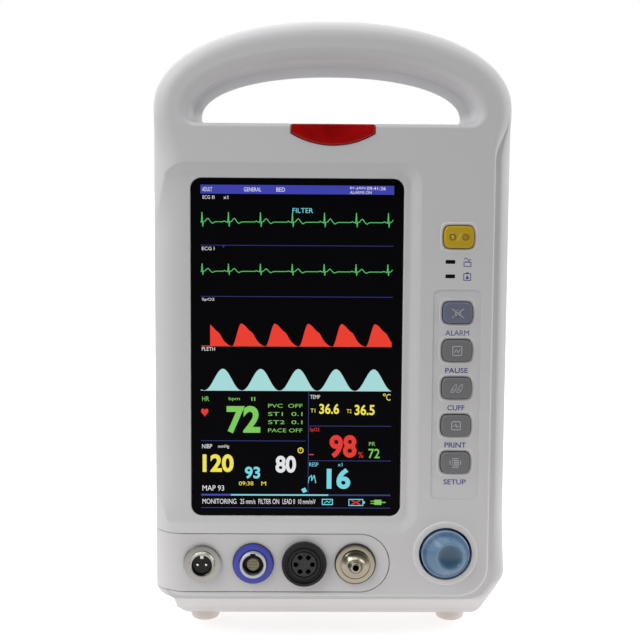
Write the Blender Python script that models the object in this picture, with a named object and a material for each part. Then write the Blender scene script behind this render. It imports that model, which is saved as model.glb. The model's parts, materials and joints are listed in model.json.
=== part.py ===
"""Portable bedside patient monitor, upright, with a carrying handle moulded into its case.

Frame: metres, +Z up, +X to the viewer's right, and the display faces -Y. The origin lies on the
surface under the feet, midway between the flanks and midway between the knob's face and the back.
Depths are counted from the front plate, the flat raised part of the face, towards the back.
"""

import math

import bpy
import bmesh
from mathutils import Matrix, Vector

MM = 0.001

# Case, seen from the front
HALF_WIDTH = 84.0 * MM
SPRING_Z = 252.0 * MM  # where the straight flanks turn into the arch of the handle
ARCH_RISE = 40.5 * MM
ARCH_POWER = 2.17  # exponent of the arch's superellipse
BASE_Z = 5.8 * MM  # underside, above the feet
LIP_Z = 21.2 * MM  # lower edge of the front case at its left end
BASE_CORNER = (10.0 * MM, 13.8 * MM)  # chamfer of the lower corners, across and up
PLATE_FLOOR_Z = 23.4 * MM  # lower edge of the front plate
PLATE_INSET = 9.0 * MM  # from the right flank to the front plate
PLATE_CORNER = 14.0 * MM

# Case, front to back
FACE_Y = -50.0 * MM
STEP = 3.5 * MM  # height of the front plate above the band around it
PARTING = 22.0 * MM
HANDLE_DEPTH = 50.0 * MM
CASE_DEPTH = 108.0 * MM
KNOB_REACH = 8.0 * MM
WALL = 2.5 * MM
FRONT_WALL = 5.0 * MM
GAP = 0.3 * MM
SIDE_ROLL = 14.0 * MM
RIM_ROLL = 8.0 * MM
FLANK_ROLL = (7.0 * MM, 10.3 * MM)  # right flank behind the plate: across and deep
BACK_ROLL = 5.0 * MM

# Hand opening under the handle
HAND_Z = 245.5 * MM
HAND_CORNER = 4.0 * MM
HAND_HALF = (66.0 * MM, 63.3 * MM)  # half width at the front and at the back
HAND_TOP = (274.6 * MM, 269.6 * MM)
HAND_POWER = 2.15

# Display
WINDOW = (98.2 * MM, 158.4 * MM)
WINDOW_CENTRE = (-16.2 * MM, 141.1 * MM)
WINDOW_CORNER = 4.8 * MM
TRAY_DEPTH = 2.5 * MM
TRAY_FLOOR = (36.0 * MM, 59.3 * MM, 222.3 * MM)  # right edge, bottom edge, top edge
TRAY_SLOPE = 6.0 * MM

# Control column
KEY_X = 58.5 * MM
KEY_SIZE = (15.2 * MM, 11.4 * MM)
KEY_PITCH = 17.65 * MM
KEY_NAMES = ("silence_key", "freeze_key", "cuff_key", "record_key", "menu_key")
FIRST_KEY_Z = 158.85 * MM
POWER_Z = 194.0 * MM
POWER_SIZE = (14.5 * MM, 10.9 * MM)
KEY_PROUD = 1.2 * MM
KEYPAD = (46.7 * MM, 70.2 * MM, 69.8 * MM, 170.0 * MM)  # recess around the keys: x, x, z, z
PIPE_X = 54.8 * MM
PIPE_ZS = {"mains_light_pipe": 182.5 * MM, "battery_light_pipe": 175.8 * MM}
PIPE_SIZE = (4.3 * MM, 1.6 * MM)
KNOB_AT = (54.6 * MM, 44.5 * MM)
KNOB_RADIUS = 11.9 * MM
COLLAR_RADIUS = 15.2 * MM

# Connector panel
PANEL_Z = 39.5 * MM
PANEL_END_X = 14.2 * MM
PANEL_RADIUS = 14.0 * MM
SOCKET_XS = {"temp": -60.2 * MM, "spo2": -36.2 * MM, "ecg": -12.1 * MM, "cuff": 12.0 * MM}
SOCKET_HOLES = {"temp": 5.7 * MM, "spo2": 6.55 * MM, "ecg": 8.8 * MM, "cuff": 5.5 * MM}

# Alarm light
ALARM_HALF = 19.2 * MM
ALARM_SIDE_Z = 241.2 * MM
ALARM_FLOOR_Z = 235.7 * MM

# Feet, screws and the back of the case
FOOT_AT = (61.8 * MM, (40.0 * MM, 92.0 * MM))
FOOT_RADIUS = 7.2 * MM
SCREW_X = 75.5 * MM
SCREW_ZS = (62.0 * MM, 222.0 * MM)
DOOR = (40.0 * MM, 94.0 * MM)  # half width, top edge
HINGE_Z = 21.5 * MM
HINGE_DEPTH = 105.4 * MM
INLET_AT = (62.0 * MM, 45.0 * MM)
NETWORK_AT = (-62.0 * MM, 45.0 * MM)
EARTH_AT = (62.0 * MM, 75.0 * MM)
SPEAKER_AT = (72.0 * MM, 140.0 * MM)  # depth and height of its axis

PALETTE = {  # name: sRGB colour, roughness, metallic
    "case": ((226, 224, 222), 0.45, 0.0),
    "window": ((12, 12, 14), 0.12, 0.0),
    "board": ((38, 92, 58), 0.6, 0.0),
    "steel": ((190, 190, 188), 0.3, 1.0),
    "nickel": ((200, 194, 178), 0.25, 1.0),
    "black": ((28, 28, 31), 0.5, 0.0),
    "blue": ((62, 72, 178), 0.35, 0.0),
    "knob": ((116, 142, 182), 0.25, 0.0),
    "red": ((158, 14, 16), 0.2, 0.0),
    "yellow": ((214, 168, 32), 0.4, 0.0),
    "blue_grey": ((84, 96, 122), 0.45, 0.0),
    "grey": ((98, 99, 101), 0.45, 0.0),
    "rubber": ((214, 205, 198), 0.8, 0.0),
    "silicone": ((150, 152, 156), 0.7, 0.0),
    "battery": ((52, 84, 150), 0.5, 0.0),
    "brass": ((196, 160, 84), 0.35, 1.0),
}


# ---------------------------------------------------------------- modelling helpers

def linear(level):
    """One sRGB level, 0 to 255, as the linear value that a shader takes."""
    share = level / 255.0
    return share / 12.92 if share <= 0.04045 else ((share + 0.055) / 1.055) ** 2.4


def material(name):
    """The palette's material of this name, made the first time it is asked for."""
    found = bpy.data.materials.get(name)
    if found:
        return found
    colour, roughness, metallic = PALETTE[name]
    made = bpy.data.materials.new(name)
    made.use_nodes = True
    shader = made.node_tree.nodes["Principled BSDF"]
    shader.inputs["Base Color"].default_value = (*map(linear, colour), 1.0)
    shader.inputs["Roughness"].default_value = roughness
    shader.inputs["Metallic"].default_value = metallic
    return made


def add_object(name, bm, colour):
    """The bmesh as an object in the scene, facing out, its shallow edges shaded smooth."""
    bmesh.ops.recalc_face_normals(bm, faces=bm.faces)
    mesh = bpy.data.meshes.new(name)
    bm.to_mesh(mesh)
    bm.free()
    mesh.shade_smooth()
    mesh.set_sharp_from_angle(angle=math.radians(32))
    made = bpy.data.objects.new(name, mesh)
    made.data.materials.append(material(colour))
    bpy.context.collection.objects.link(made)
    return made


def loft(name, sections, colour="case"):
    """A closed solid through sections, lists of points that all have the same length."""
    bm = bmesh.new()
    rings = [[bm.verts.new(point) for point in section] for section in sections]
    for ring, following in zip(rings, rings[1:]):
        for i in range(len(ring)):
            j = (i + 1) % len(ring)
            bm.faces.new((ring[i], ring[j], following[j], following[i]))
    bm.faces.new(rings[0])
    bm.faces.new(rings[-1])
    return add_object(name, bm, colour)


def at_depth(outline, depth):
    """An (x, z) outline set upright at a depth behind the front plate."""
    return [Vector((x, FACE_Y + depth, z)) for x, z in outline]


def slab(name, outline, front, back, colour="case"):
    """An (x, z) outline extruded between two depths."""
    return loft(name, [at_depth(outline, front), at_depth(outline, back)], colour)


def block(name, x, depth, z, colour="case"):
    """A box between pairs of x, depth and z."""
    outline = [(x[0], z[0]), (x[1], z[0]), (x[1], z[1]), (x[0], z[1])]
    return slab(name, outline, *depth, colour)


def turned(name, profile, at, colour, sides=24, ring=False):
    """A solid turned about the front-to-back axis through at = (x, z).

    The profile lists (radius, depth). It starts and ends on the axis, or it closes on itself
    when ring is true.
    """
    bm = bmesh.new()
    loops = []
    for radius, depth in profile:
        angles = [math.tau * i / sides for i in range(sides if radius else 1)]
        loops.append([
            bm.verts.new((at[0] + radius * math.cos(a), FACE_Y + depth, at[1] + radius * math.sin(a)))
            for a in angles
        ])
    pairs = list(zip(loops, loops[1:]))
    if ring:
        pairs.append((loops[-1], loops[0]))
    for loop, following in pairs:
        for i in range(sides):
            corners = []
            for vert in (loop[i % len(loop)], loop[(i + 1) % len(loop)],
                         following[(i + 1) % len(following)], following[i % len(following)]):
                if vert not in corners:
                    corners.append(vert)
            bm.faces.new(corners)
    return add_object(name, bm, colour)


def rod(name, radius, at, front, back, colour="case", sides=16):
    """A plain cylinder from one depth to another."""
    return turned(name, [(0, front), (radius, front), (radius, back), (0, back)], at, colour, sides)


def across(made, at):
    """Turns a solid made about the front-to-back axis at the origin so that it lies along X."""
    made.data.transform(Matrix.Translation((0, -FACE_Y, 0)))
    made.data.transform(Matrix.Rotation(-math.pi / 2, 4, "Z"))
    made.data.transform(Matrix.Translation(at))
    return made


def combine(target, tools, operation="DIFFERENCE"):
    """Applies a Boolean with each tool in turn, and removes the tool."""
    for tool in tools:
        step = target.modifiers.new(operation, "BOOLEAN")
        step.operation = operation
        step.solver = "EXACT"
        step.object = tool
        bpy.context.view_layer.update()
        evaluated = target.evaluated_get(bpy.context.evaluated_depsgraph_get())
        mesh = bpy.data.meshes.new_from_object(evaluated)
        target.modifiers.clear()
        target.data = mesh
        bpy.data.objects.remove(tool)
    return target


def twin(made, name):
    """A copy with its own mesh."""
    copy = made.copy()
    copy.data = made.data.copy()
    copy.name = name
    bpy.context.collection.objects.link(copy)
    return copy


def set_origin(made, point):
    """Moves an object's origin to a point without moving its shape."""
    made.data.transform(Matrix.Translation(-Vector(point)))
    made.location = point
    return made


# ---------------------------------------------------------------- outlines

def quarter(depth, run):
    """Falls from 1 at depth 0 to 0 at depth run, along a quarter circle."""
    rest = min(1.0, max(0.0, 1.0 - depth / run))
    return 1.0 - math.sqrt(1.0 - rest * rest)


def mix(first, second, share):
    return first + (second - first) * share


def inset(outline, distance):
    """An anticlockwise outline drawn in by a distance; a negative one grows it."""
    points = [Vector(point) for point in outline]
    drawn = []
    for i, here in enumerate(points):
        arriving = (here - points[i - 1]).normalized()
        leaving = (points[(i + 1) % len(points)] - here).normalized()
        left = Vector((-arriving.y, arriving.x))
        right = Vector((-leaving.y, leaving.x))
        drawn.append(here + (left + right) * (distance / (1.0 + left.dot(right))))
    return drawn


def arc(centre, radius, start, end, steps):
    """Points on an arc between two angles in degrees, both ends included."""
    angles = [math.radians(mix(start, end, i / steps)) for i in range(steps + 1)]
    return [(centre[0] + radius * math.cos(a), centre[1] + radius * math.sin(a)) for a in angles]


def rounded(x, z, radius, steps=4):
    """A rectangle between pairs of x and z with round corners, anticlockwise."""
    corners = (((x[1], z[0]), (-1, 1), -90), ((x[1], z[1]), (-1, -1), 0),
               ((x[0], z[1]), (1, -1), 90), ((x[0], z[0]), (1, 1), 180))
    outline = []
    for (cx, cz), (dx, dz), start in corners:
        outline += arc((cx + dx * radius, cz + dz * radius), radius, start, start + 90, steps)
    return outline


def centred(centre, size, radius, steps=4):
    """A round-cornered rectangle about a centre."""
    (x, z), (w, h) = centre, size
    return rounded((x - w / 2, x + w / 2), (z - h / 2, z + h / 2), radius, steps)


def arch(half, foot_z, rise, power, steps):
    """A superellipse's upper half, from its right foot over to its left one."""
    points = []
    for i in range(steps + 1):
        angle = math.pi * i / steps
        c, s = math.cos(angle), max(0.0, math.sin(angle))
        points.append((math.copysign(half * abs(c) ** (2 / power), c), foot_z + rise * s ** (2 / power)))
    return points


def barrel(centre, size, grow=0.0):
    """A key's outline: flat above and below, bulging at the sides, with small round corners."""
    (x, z), half_w, half_h = centre, size[0] / 2 + grow, size[1] / 2 + grow
    corner, bulge = 2.2 * MM + grow, 1.1 * MM
    outline = []
    for side, start in ((1, -90), (-1, 90)):
        edge = x + side * (half_w - bulge)
        outline += arc((edge - side * corner, z - side * (half_h - corner)), corner, start, start + 70, 3)
        outline.append((x + side * half_w, z))
        outline += arc((edge - side * corner, z + side * (half_h - corner)), corner, start + 110,
                       start + 180, 3)
    return outline


def chin(depth):
    """Height of the case's underside, which falls away from the front plate to the feet."""
    if depth <= STEP:
        return PLATE_FLOOR_Z + quarter(depth, 1.0 * MM) * MM
    share = min(1.0, (depth - STEP) / (30.0 * MM - STEP))
    return mix(PLATE_FLOOR_Z - 2.4 * MM, BASE_Z, share)


def flank(depth):
    """How far the right side is drawn in below the handle."""
    if depth <= STEP:
        return PLATE_INSET + quarter(depth, 1.0 * MM) * MM
    return FLANK_ROLL[0] * quarter(depth - STEP, FLANK_ROLL[1])


def handle_share(z):
    """0 on the body, 1 on the handle, eased in between."""
    share = min(1.0, max(0.0, (z - 222.0 * MM) / (28.0 * MM)))
    return share * share * (3.0 - 2.0 * share)


def front_outline(depth):
    """The front case's outline at a depth, anticlockwise from its lower left."""
    left = SIDE_ROLL * quarter(depth, SIDE_ROLL)
    rim = RIM_ROLL * quarter(depth, RIM_ROLL)
    right, floor = flank(depth), chin(depth)
    lip = max(floor, LIP_Z)
    foot = -HALF_WIDTH + left
    rise = 0.0 if depth <= STEP else 1.0 - quarter(depth - STEP, FLANK_ROLL[1])
    corner = arc((HALF_WIDTH - right - PLATE_CORNER, floor + PLATE_CORNER), PLATE_CORNER, -90, 0, 5)
    across_base, up = BASE_CORNER
    chamfer = [(HALF_WIDTH - across_base * (1 - i / 5), floor + up * i / 5) for i in range(6)]
    outline = [(foot + 10.5 * MM, floor)]
    outline += [(mix(a[0], b[0], rise), mix(a[1], b[1], rise)) for a, b in zip(corner, chamfer)]
    heights = [z * MM for z in (60, 150, 215, 226, 232, 238, 245)]
    outline += [(HALF_WIDTH - mix(right, rim, handle_share(z)), z) for z in heights]
    outline += arch(HALF_WIDTH - rim, SPRING_Z, ARCH_RISE - rim, ARCH_POWER, 26)
    outline += [(-HALF_WIDTH + mix(left, rim, handle_share(z)), z) for z in reversed(heights)]
    outline += arc((foot + 5.0 * MM, lip + 5.0 * MM), 5.0 * MM, 180, 270, 3)
    outline.append((foot + 7.5 * MM, lip))
    return outline


def rear_outline(depth):
    """The rear case's outline at a depth, with the handle's arch on top."""
    floor = chin(depth)
    outline = [(HALF_WIDTH - BASE_CORNER[0], floor), (HALF_WIDTH, floor + BASE_CORNER[1])]
    outline += arch(HALF_WIDTH, SPRING_Z, ARCH_RISE, ARCH_POWER, 26)
    outline += [(-HALF_WIDTH, BASE_Z + BASE_CORNER[1]), (-HALF_WIDTH + BASE_CORNER[0], floor)]
    return outline


def hand_outline(depth, grow=0.0):
    """The hand opening at a depth; its walls flare where they meet the front."""
    share = (depth - 4.0 * MM) / (HANDLE_DEPTH - 4.0 * MM)
    flare = 2.5 * MM * quarter(depth, 4.0 * MM)
    half = mix(*HAND_HALF, share) + flare + grow
    floor = HAND_Z - 0.8 * flare - grow
    corner = HAND_CORNER + flare + grow
    foot_z = floor + corner
    top = mix(*HAND_TOP, share) + flare + grow
    outline = arc((-half + corner, foot_z), corner, 180, 270, 4)[1:]
    outline += arc((half - corner, foot_z), corner, -90, 0, 4)[:-1]
    return outline + arch(half, foot_z, top - foot_z, HAND_POWER, 24)


# ---------------------------------------------------------------- case

def hand_plug(name, front, back, grow=0.0):
    """The solid that fills the hand opening between two depths."""
    depths = [front] + [d * MM for d in (0.6, 1.8, 4.0)] + [back]
    return loft(name, [at_depth(hand_outline(max(d, 0.0), grow), d) for d in depths])


def shoulder_plug(name, front, lower):
    """Everything above the body's round shoulders and behind a depth."""
    sections = []
    for depth, top in ((front, 244.0 * MM), (CASE_DEPTH + 2 * MM, 240.0 * MM)):
        top -= lower
        reach, radius = HALF_WIDTH - lower + MM, 12.0 * MM - lower
        outline = [(-2 * reach, top - radius)]
        outline += [(-reach, top - radius)]
        outline += arc((-reach + radius + MM, top - radius), radius, 180, 90, 5)
        outline += arc((reach - radius - MM, top - radius), radius, 90, 0, 5)
        outline += [(reach, top - radius), (2 * reach, top - radius)]
        outline += [(2 * reach, 2 * SPRING_Z), (-2 * reach, 2 * SPRING_Z)]
        sections.append(at_depth(outline, depth))
    return loft(name, sections)


def front_shell():
    """The front case before its openings: the outer form less the hollow behind the walls."""
    back = PARTING - GAP / 2
    depths = [d * MM for d in (0.0, 0.3, 1.0, 2.0, 3.5, 3.8, 6.0, 9.0, 14.0)] + [back]
    shell = loft("front_housing", [at_depth(front_outline(d), d) for d in depths])
    hollow_depths = [(5.0, 3.2), (6.6, 4.4), (9.5, 7.0), (14.5, 12.0), (23.0, 22.0)]
    hollow = loft("hollow", [at_depth(inset(front_outline(source * MM), WALL), depth * MM)
                             for depth, source in hollow_depths])
    combine(hollow, [hand_plug("hand_wall", -MM, PARTING + 3 * MM, WALL)])
    return combine(shell, [hollow, hand_plug("hand", -MM, PARTING + 2 * MM)])


def tray_plug():
    """The shallow tray around the display: sloped walls on three sides, open to the left."""
    right, bottom, top = TRAY_FLOOR
    beyond = -HALF_WIDTH - 20 * MM
    sections = []
    for grow, depth in ((TRAY_SLOPE * 1.2, -0.5 * MM), (0.0, TRAY_DEPTH)):
        outline = rounded((beyond - grow, right + grow), (bottom - grow, top + grow), 4 * MM + grow)
        sections.append(at_depth(outline, depth))
    return loft("tray", sections)


def panel_outline(grow):
    """The connector panel: open past the left flank, a half circle at the right."""
    end = arc((PANEL_END_X, PANEL_Z), PANEL_RADIUS + grow, -90, 90, 12)
    left = -HALF_WIDTH - 5 * MM
    return [(left, end[0][1])] + end + [(left, end[-1][1])]


def alarm_outline(grow=0.0, top=HAND_Z):
    """The alarm light: straight above and at the sides, bowed below."""
    half, floor, side = ALARM_HALF + grow, ALARM_FLOOR_Z - grow, ALARM_SIDE_Z - grow
    sag = side - floor
    radius = (half * half + sag * sag) / (2 * sag)
    spread = math.degrees(math.asin(half / radius))
    return arc((0.0, floor + radius), radius, 270 - spread, 270 + spread, 10) + [(half, top), (-half, top)]


def key_centres():
    """Every key's name, centre and size, from the top down."""
    keys = [("power_button", (KEY_X, POWER_Z), POWER_SIZE)]
    keys += [(name, (KEY_X, FIRST_KEY_Z - i * KEY_PITCH), KEY_SIZE) for i, name in enumerate(KEY_NAMES)]
    return keys


def cut_controls(housing):
    """Opens the front case for the keys, light pipes, knob, alarm light and display."""
    before, behind = -3 * MM, FRONT_WALL + 2 * MM
    cuts = [tray_plug()]
    cuts.append(slab("pad", rounded(KEYPAD[:2], KEYPAD[2:], 3 * MM), before, 0.4 * MM))
    cuts += [slab(name, barrel(centre, size, GAP), before, behind) for name, centre, size in key_centres()]
    cuts += [block(name, (PIPE_X - PIPE_SIZE[0] / 2 - GAP, PIPE_X + PIPE_SIZE[0] / 2 + GAP),
                   (before, behind), (z - PIPE_SIZE[1] / 2 - GAP, z + PIPE_SIZE[1] / 2 + GAP))
             for name, z in PIPE_ZS.items()]
    window = (WINDOW[0] + 2 * GAP, WINDOW[1] + 2 * GAP)
    cuts.append(slab("window", centred(WINDOW_CENTRE, window, WINDOW_CORNER + GAP), before, behind))
    cuts.append(slab("alarm", alarm_outline(GAP, HAND_Z + 3 * MM), before, 8.6 * MM))
    combine(housing, cuts)
    collar = turned("collar", [(KNOB_RADIUS + 0.2 * MM, -1.2 * MM), (COLLAR_RADIUS - 1.2 * MM, -1.2 * MM),
                               (COLLAR_RADIUS, 1.0 * MM), (KNOB_RADIUS + 0.2 * MM, 1.0 * MM)],
                    KNOB_AT, "case", 32, ring=True)
    combine(housing, [collar], "UNION")
    return combine(housing, [rod("knob_hole", KNOB_RADIUS + 0.6 * MM, KNOB_AT, before, behind, sides=32)])


def screw_places():
    """Every case screw's name and centre."""
    places = [(x, z) for z in SCREW_ZS for x in (-SCREW_X, SCREW_X)]
    return [(f"housing_screw_{i + 1}", at) for i, at in enumerate(places)]


def make_front():
    """The front case, and the connector panel that is let into it."""
    housing = front_shell()
    panel = combine(twin(housing, "connector_panel"),
                    [slab("keep", panel_outline(-GAP / 2), -5 * MM, PARTING)], "INTERSECT")
    combine(housing, [slab("panel_seat", panel_outline(GAP / 2), -6 * MM, PARTING + 2 * MM)])
    cut_controls(housing)
    bosses = [rod("boss", 4.2 * MM, at, 6 * MM, PARTING - GAP / 2, sides=12) for _, at in screw_places()]
    combine(housing, bosses, "UNION")
    bores = [rod("bore", 1.7 * MM, at, 10 * MM, PARTING + MM, sides=12) for _, at in screw_places()]
    combine(housing, bores)
    combine(panel, [rod(name, radius, (SOCKET_XS[name], PANEL_Z), -6 * MM, 12 * MM, sides=24)
                    for name, radius in SOCKET_HOLES.items()])


def rear_shell():
    """The rear case before its openings."""
    front = PARTING + GAP / 2
    sections = [at_depth(rear_outline(d), d) for d in (front, 30.0 * MM, CASE_DEPTH - BACK_ROLL)]
    for back in (2.6 * MM, 0.9 * MM, 0.0):
        sections.append(at_depth(inset(rear_outline(CASE_DEPTH), BACK_ROLL * quarter(back, BACK_ROLL)),
                                 CASE_DEPTH - back))
    shell = loft("rear_housing", sections)
    hollow = loft("hollow", [at_depth(inset(rear_outline(max(d, front)), WALL), d)
                             for d in (PARTING - MM, 30.0 * MM, CASE_DEPTH - WALL)])
    combine(hollow, [hand_plug("hand_wall", -MM, HANDLE_DEPTH + 3 * MM, WALL),
                     shoulder_plug("roof", HANDLE_DEPTH - WALL, WALL)])
    return combine(shell, [hollow, hand_plug("hand", -MM, HANDLE_DEPTH + 2 * MM),
                           shoulder_plug("shoulder", HANDLE_DEPTH, 0.0)])


def side_slots():
    """Cooling slots low on the right flank and the speaker's slots on the left one."""
    slots = []
    for i in range(7):
        z = (70.0 + 6.0 * i) * MM
        slots.append(block("vent", (HALF_WIDTH - 6 * MM, HALF_WIDTH + 3 * MM),
                           (58 * MM, 94 * MM), (z, z + 2.4 * MM)))
    for i in range(-3, 4):
        reach = math.sqrt(17.0 ** 2 - (4.6 * i) ** 2) * MM
        z = SPEAKER_AT[1] + 4.6 * i * MM
        slots.append(block("grille", (-HALF_WIDTH - 3 * MM, -HALF_WIDTH + 4 * MM),
                           (SPEAKER_AT[0] - reach, SPEAKER_AT[0] + reach), (z - 0.9 * MM, z + 0.9 * MM)))
    return slots


def make_rear():
    """The rear case with its screw wells, battery opening, connectors' openings and slots."""
    housing = rear_shell()
    wells = [rod("well", 5.2 * MM, at, PARTING + GAP / 2, CASE_DEPTH - MM, sides=12)
             for _, at in screw_places()]
    combine(housing, wells, "UNION")
    beyond = CASE_DEPTH + 2 * MM
    cuts = []
    for _, at in screw_places():
        cuts.append(rod("bore", 1.7 * MM, at, PARTING - MM, 31 * MM, sides=12))
        cuts.append(rod("well", 3.6 * MM, at, 30.5 * MM, beyond, sides=12))
    half, top = DOOR
    cuts.append(block("bay", (-half, half), (CASE_DEPTH - 4 * MM, beyond), (HINGE_Z + 4 * MM, top)))
    cuts.append(block("knuckle_seat", (-34 * MM, 34 * MM), (102 * MM, beyond),
                      (HINGE_Z - 3.5 * MM, HINGE_Z + 5 * MM)))
    cuts.append(block("latch_seat", (-5 * MM, 5 * MM), (105 * MM, 106.8 * MM), (top - MM, top + 3.5 * MM)))
    cuts.append(across(rod("pin_bore", 1.1 * MM, (0, 0), -36 * MM, 36 * MM, sides=12),
                       (0, FACE_Y + HINGE_DEPTH, HINGE_Z)))
    for at, size in ((INLET_AT, (28 * MM, 20 * MM)), (NETWORK_AT, (16.6 * MM, 14.6 * MM))):
        cuts.append(slab("port", centred(at, size, 1.5 * MM, 2), 100 * MM, beyond))
    cuts.append(rod("earth", 4.3 * MM, EARTH_AT, 100 * MM, beyond, sides=16))
    combine(housing, cuts + side_slots())


# ---------------------------------------------------------------- display and controls

def make_display():
    """The window, the display behind it and the frame that holds both."""
    slab("display_window", centred(WINDOW_CENTRE, WINDOW, WINDOW_CORNER), 3.0 * MM, 4.9 * MM, "window")
    slab("lcd_panel", centred(WINDOW_CENTRE, (104 * MM, 165 * MM), MM, 1), 5.3 * MM, 11 * MM, "steel")
    frame = slab("lcd_frame", centred(WINDOW_CENTRE, (109 * MM, 170 * MM), 2 * MM, 2),
                 5.3 * MM, 12 * MM, "steel")
    well = slab("well", centred(WINDOW_CENTRE, (104.8 * MM, 165.8 * MM), MM, 2), 4 * MM, 13 * MM)
    combine(frame, [well])


def board(name, x, depth, z, parts, colour="board"):
    """A circuit board with the parts that stand on it; each part is a box like the board's."""
    made = block(name, x, depth, z, colour)
    return combine(made, [block("chip", *part, colour) for part in parts], "UNION")


def make_boards():
    """Every circuit board, and the flat cables between them."""
    board("main_board", (-66 * MM, 34 * MM), (14 * MM, 15.6 * MM), (78 * MM, 214 * MM), [
        ((-48 * MM, -20 * MM), (15 * MM, 18 * MM), (130 * MM, 158 * MM)),
        ((-6 * MM, 14 * MM), (15 * MM, 17.2 * MM), (150 * MM, 172 * MM)),
        ((-60 * MM, -30 * MM), (15 * MM, 22 * MM), (84 * MM, 92 * MM)),
    ])
    parameter_board = board("parameter_board", (-76 * MM, 34 * MM), (26 * MM, 27.6 * MM),
                            (16 * MM, 56 * MM), [
        ((-66 * MM, -40 * MM), (27 * MM, 32 * MM), (24 * MM, 52 * MM)),
        ((-28 * MM, -6 * MM), (27 * MM, 34 * MM), (28 * MM, 50 * MM)),
    ])
    hose_hole = rod("hose_hole", 4.5 * MM, (SOCKET_XS["cuff"], PANEL_Z), 25 * MM, 29 * MM, sides=12)
    combine(parameter_board, [hose_hole])
    board("power_supply", (44 * MM, 80 * MM), (60 * MM, 61.6 * MM), (104 * MM, 206 * MM), [
        ((50 * MM, 74 * MM), (61 * MM, 86 * MM), (126 * MM, 152 * MM)),
        ((52 * MM, 66 * MM), (61 * MM, 80 * MM), (166 * MM, 180 * MM)),
    ])
    board("keypad_board", (45.5 * MM, 71 * MM), (9.7 * MM, 11.3 * MM), (74 * MM, 206 * MM), [
        ((46 * MM, 54 * MM), (11 * MM, 14 * MM), (132 * MM, 142 * MM)),
    ])
    board("alarm_board", (-17 * MM, 17 * MM), (9.2 * MM, 10.8 * MM), (228 * MM, 241.5 * MM), [
        ((x - 2 * MM, x + 2 * MM), (8.7 * MM, 9.5 * MM), (237 * MM, 240.5 * MM))
        for x in (-9 * MM, 9 * MM)
    ])
    board("encoder_board", (43 * MM, 66 * MM), (17.3 * MM, 18.9 * MM), (33 * MM, 56 * MM), [
        ((58 * MM, 65 * MM), (18.5 * MM, 22 * MM), (35 * MM, 45 * MM)),
    ])
    block("keypad_cable", (34.5 * MM, 54 * MM), (14.3 * MM, 14.8 * MM), (133 * MM, 141 * MM), "grey")
    width = (-40 * MM, -16 * MM)
    ribbon = block("lcd_cable", width, (11.3 * MM, 11.8 * MM), (64 * MM, 77.2 * MM), "grey")
    bend = block("bend", width, (11.4 * MM, 17.5 * MM), (76.9 * MM, 77.4 * MM), "grey")
    combine(ribbon, [bend], "UNION")


def make_keys():
    """The power button, the five keys and the silicone mat that springs them."""
    for name, centre, size in key_centres():
        colour = {"power_button": "yellow", "silence_key": "blue_grey"}.get(name, "grey")
        outline = barrel(centre, size)
        flange = inset(outline, -1.2 * MM)
        cap = loft(name, [at_depth(inset(outline, 0.7 * MM), -KEY_PROUD),
                          at_depth(outline, -KEY_PROUD + 0.5 * MM), at_depth(outline, 5.4 * MM),
                          at_depth(flange, 5.5 * MM), at_depth(flange, 6.6 * MM)], colour)
        set_origin(cap, (centre[0], FACE_Y - KEY_PROUD, centre[1]))
    mat = block("keypad_membrane", (46 * MM, 70.5 * MM), (8.6 * MM, 9.4 * MM), (76 * MM, 204 * MM),
                "silicone")
    domes = [turned("dome", [(0, 7.9 * MM), (2.4 * MM, 7.9 * MM), (4.2 * MM, 8.9 * MM), (0, 8.9 * MM)],
                    centre, "silicone", 12) for _, centre, _ in key_centres()]
    combine(mat, domes, "UNION")


def make_lights():
    """The two light pipes of the control column, and the red alarm light."""
    for name, z in PIPE_ZS.items():
        outline = centred((PIPE_X, z), PIPE_SIZE, 0.3 * MM, 1)
        slab(name, outline, 0.1 * MM, 8.0 * MM, "black")
    outline = alarm_outline(0.0, HAND_Z + 0.2 * MM)
    loft("alarm_lens", [at_depth(inset(outline, 0.6 * MM), -0.7 * MM), at_depth(outline, -0.1 * MM),
                        at_depth(outline, 8.3 * MM)], "red")


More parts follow.
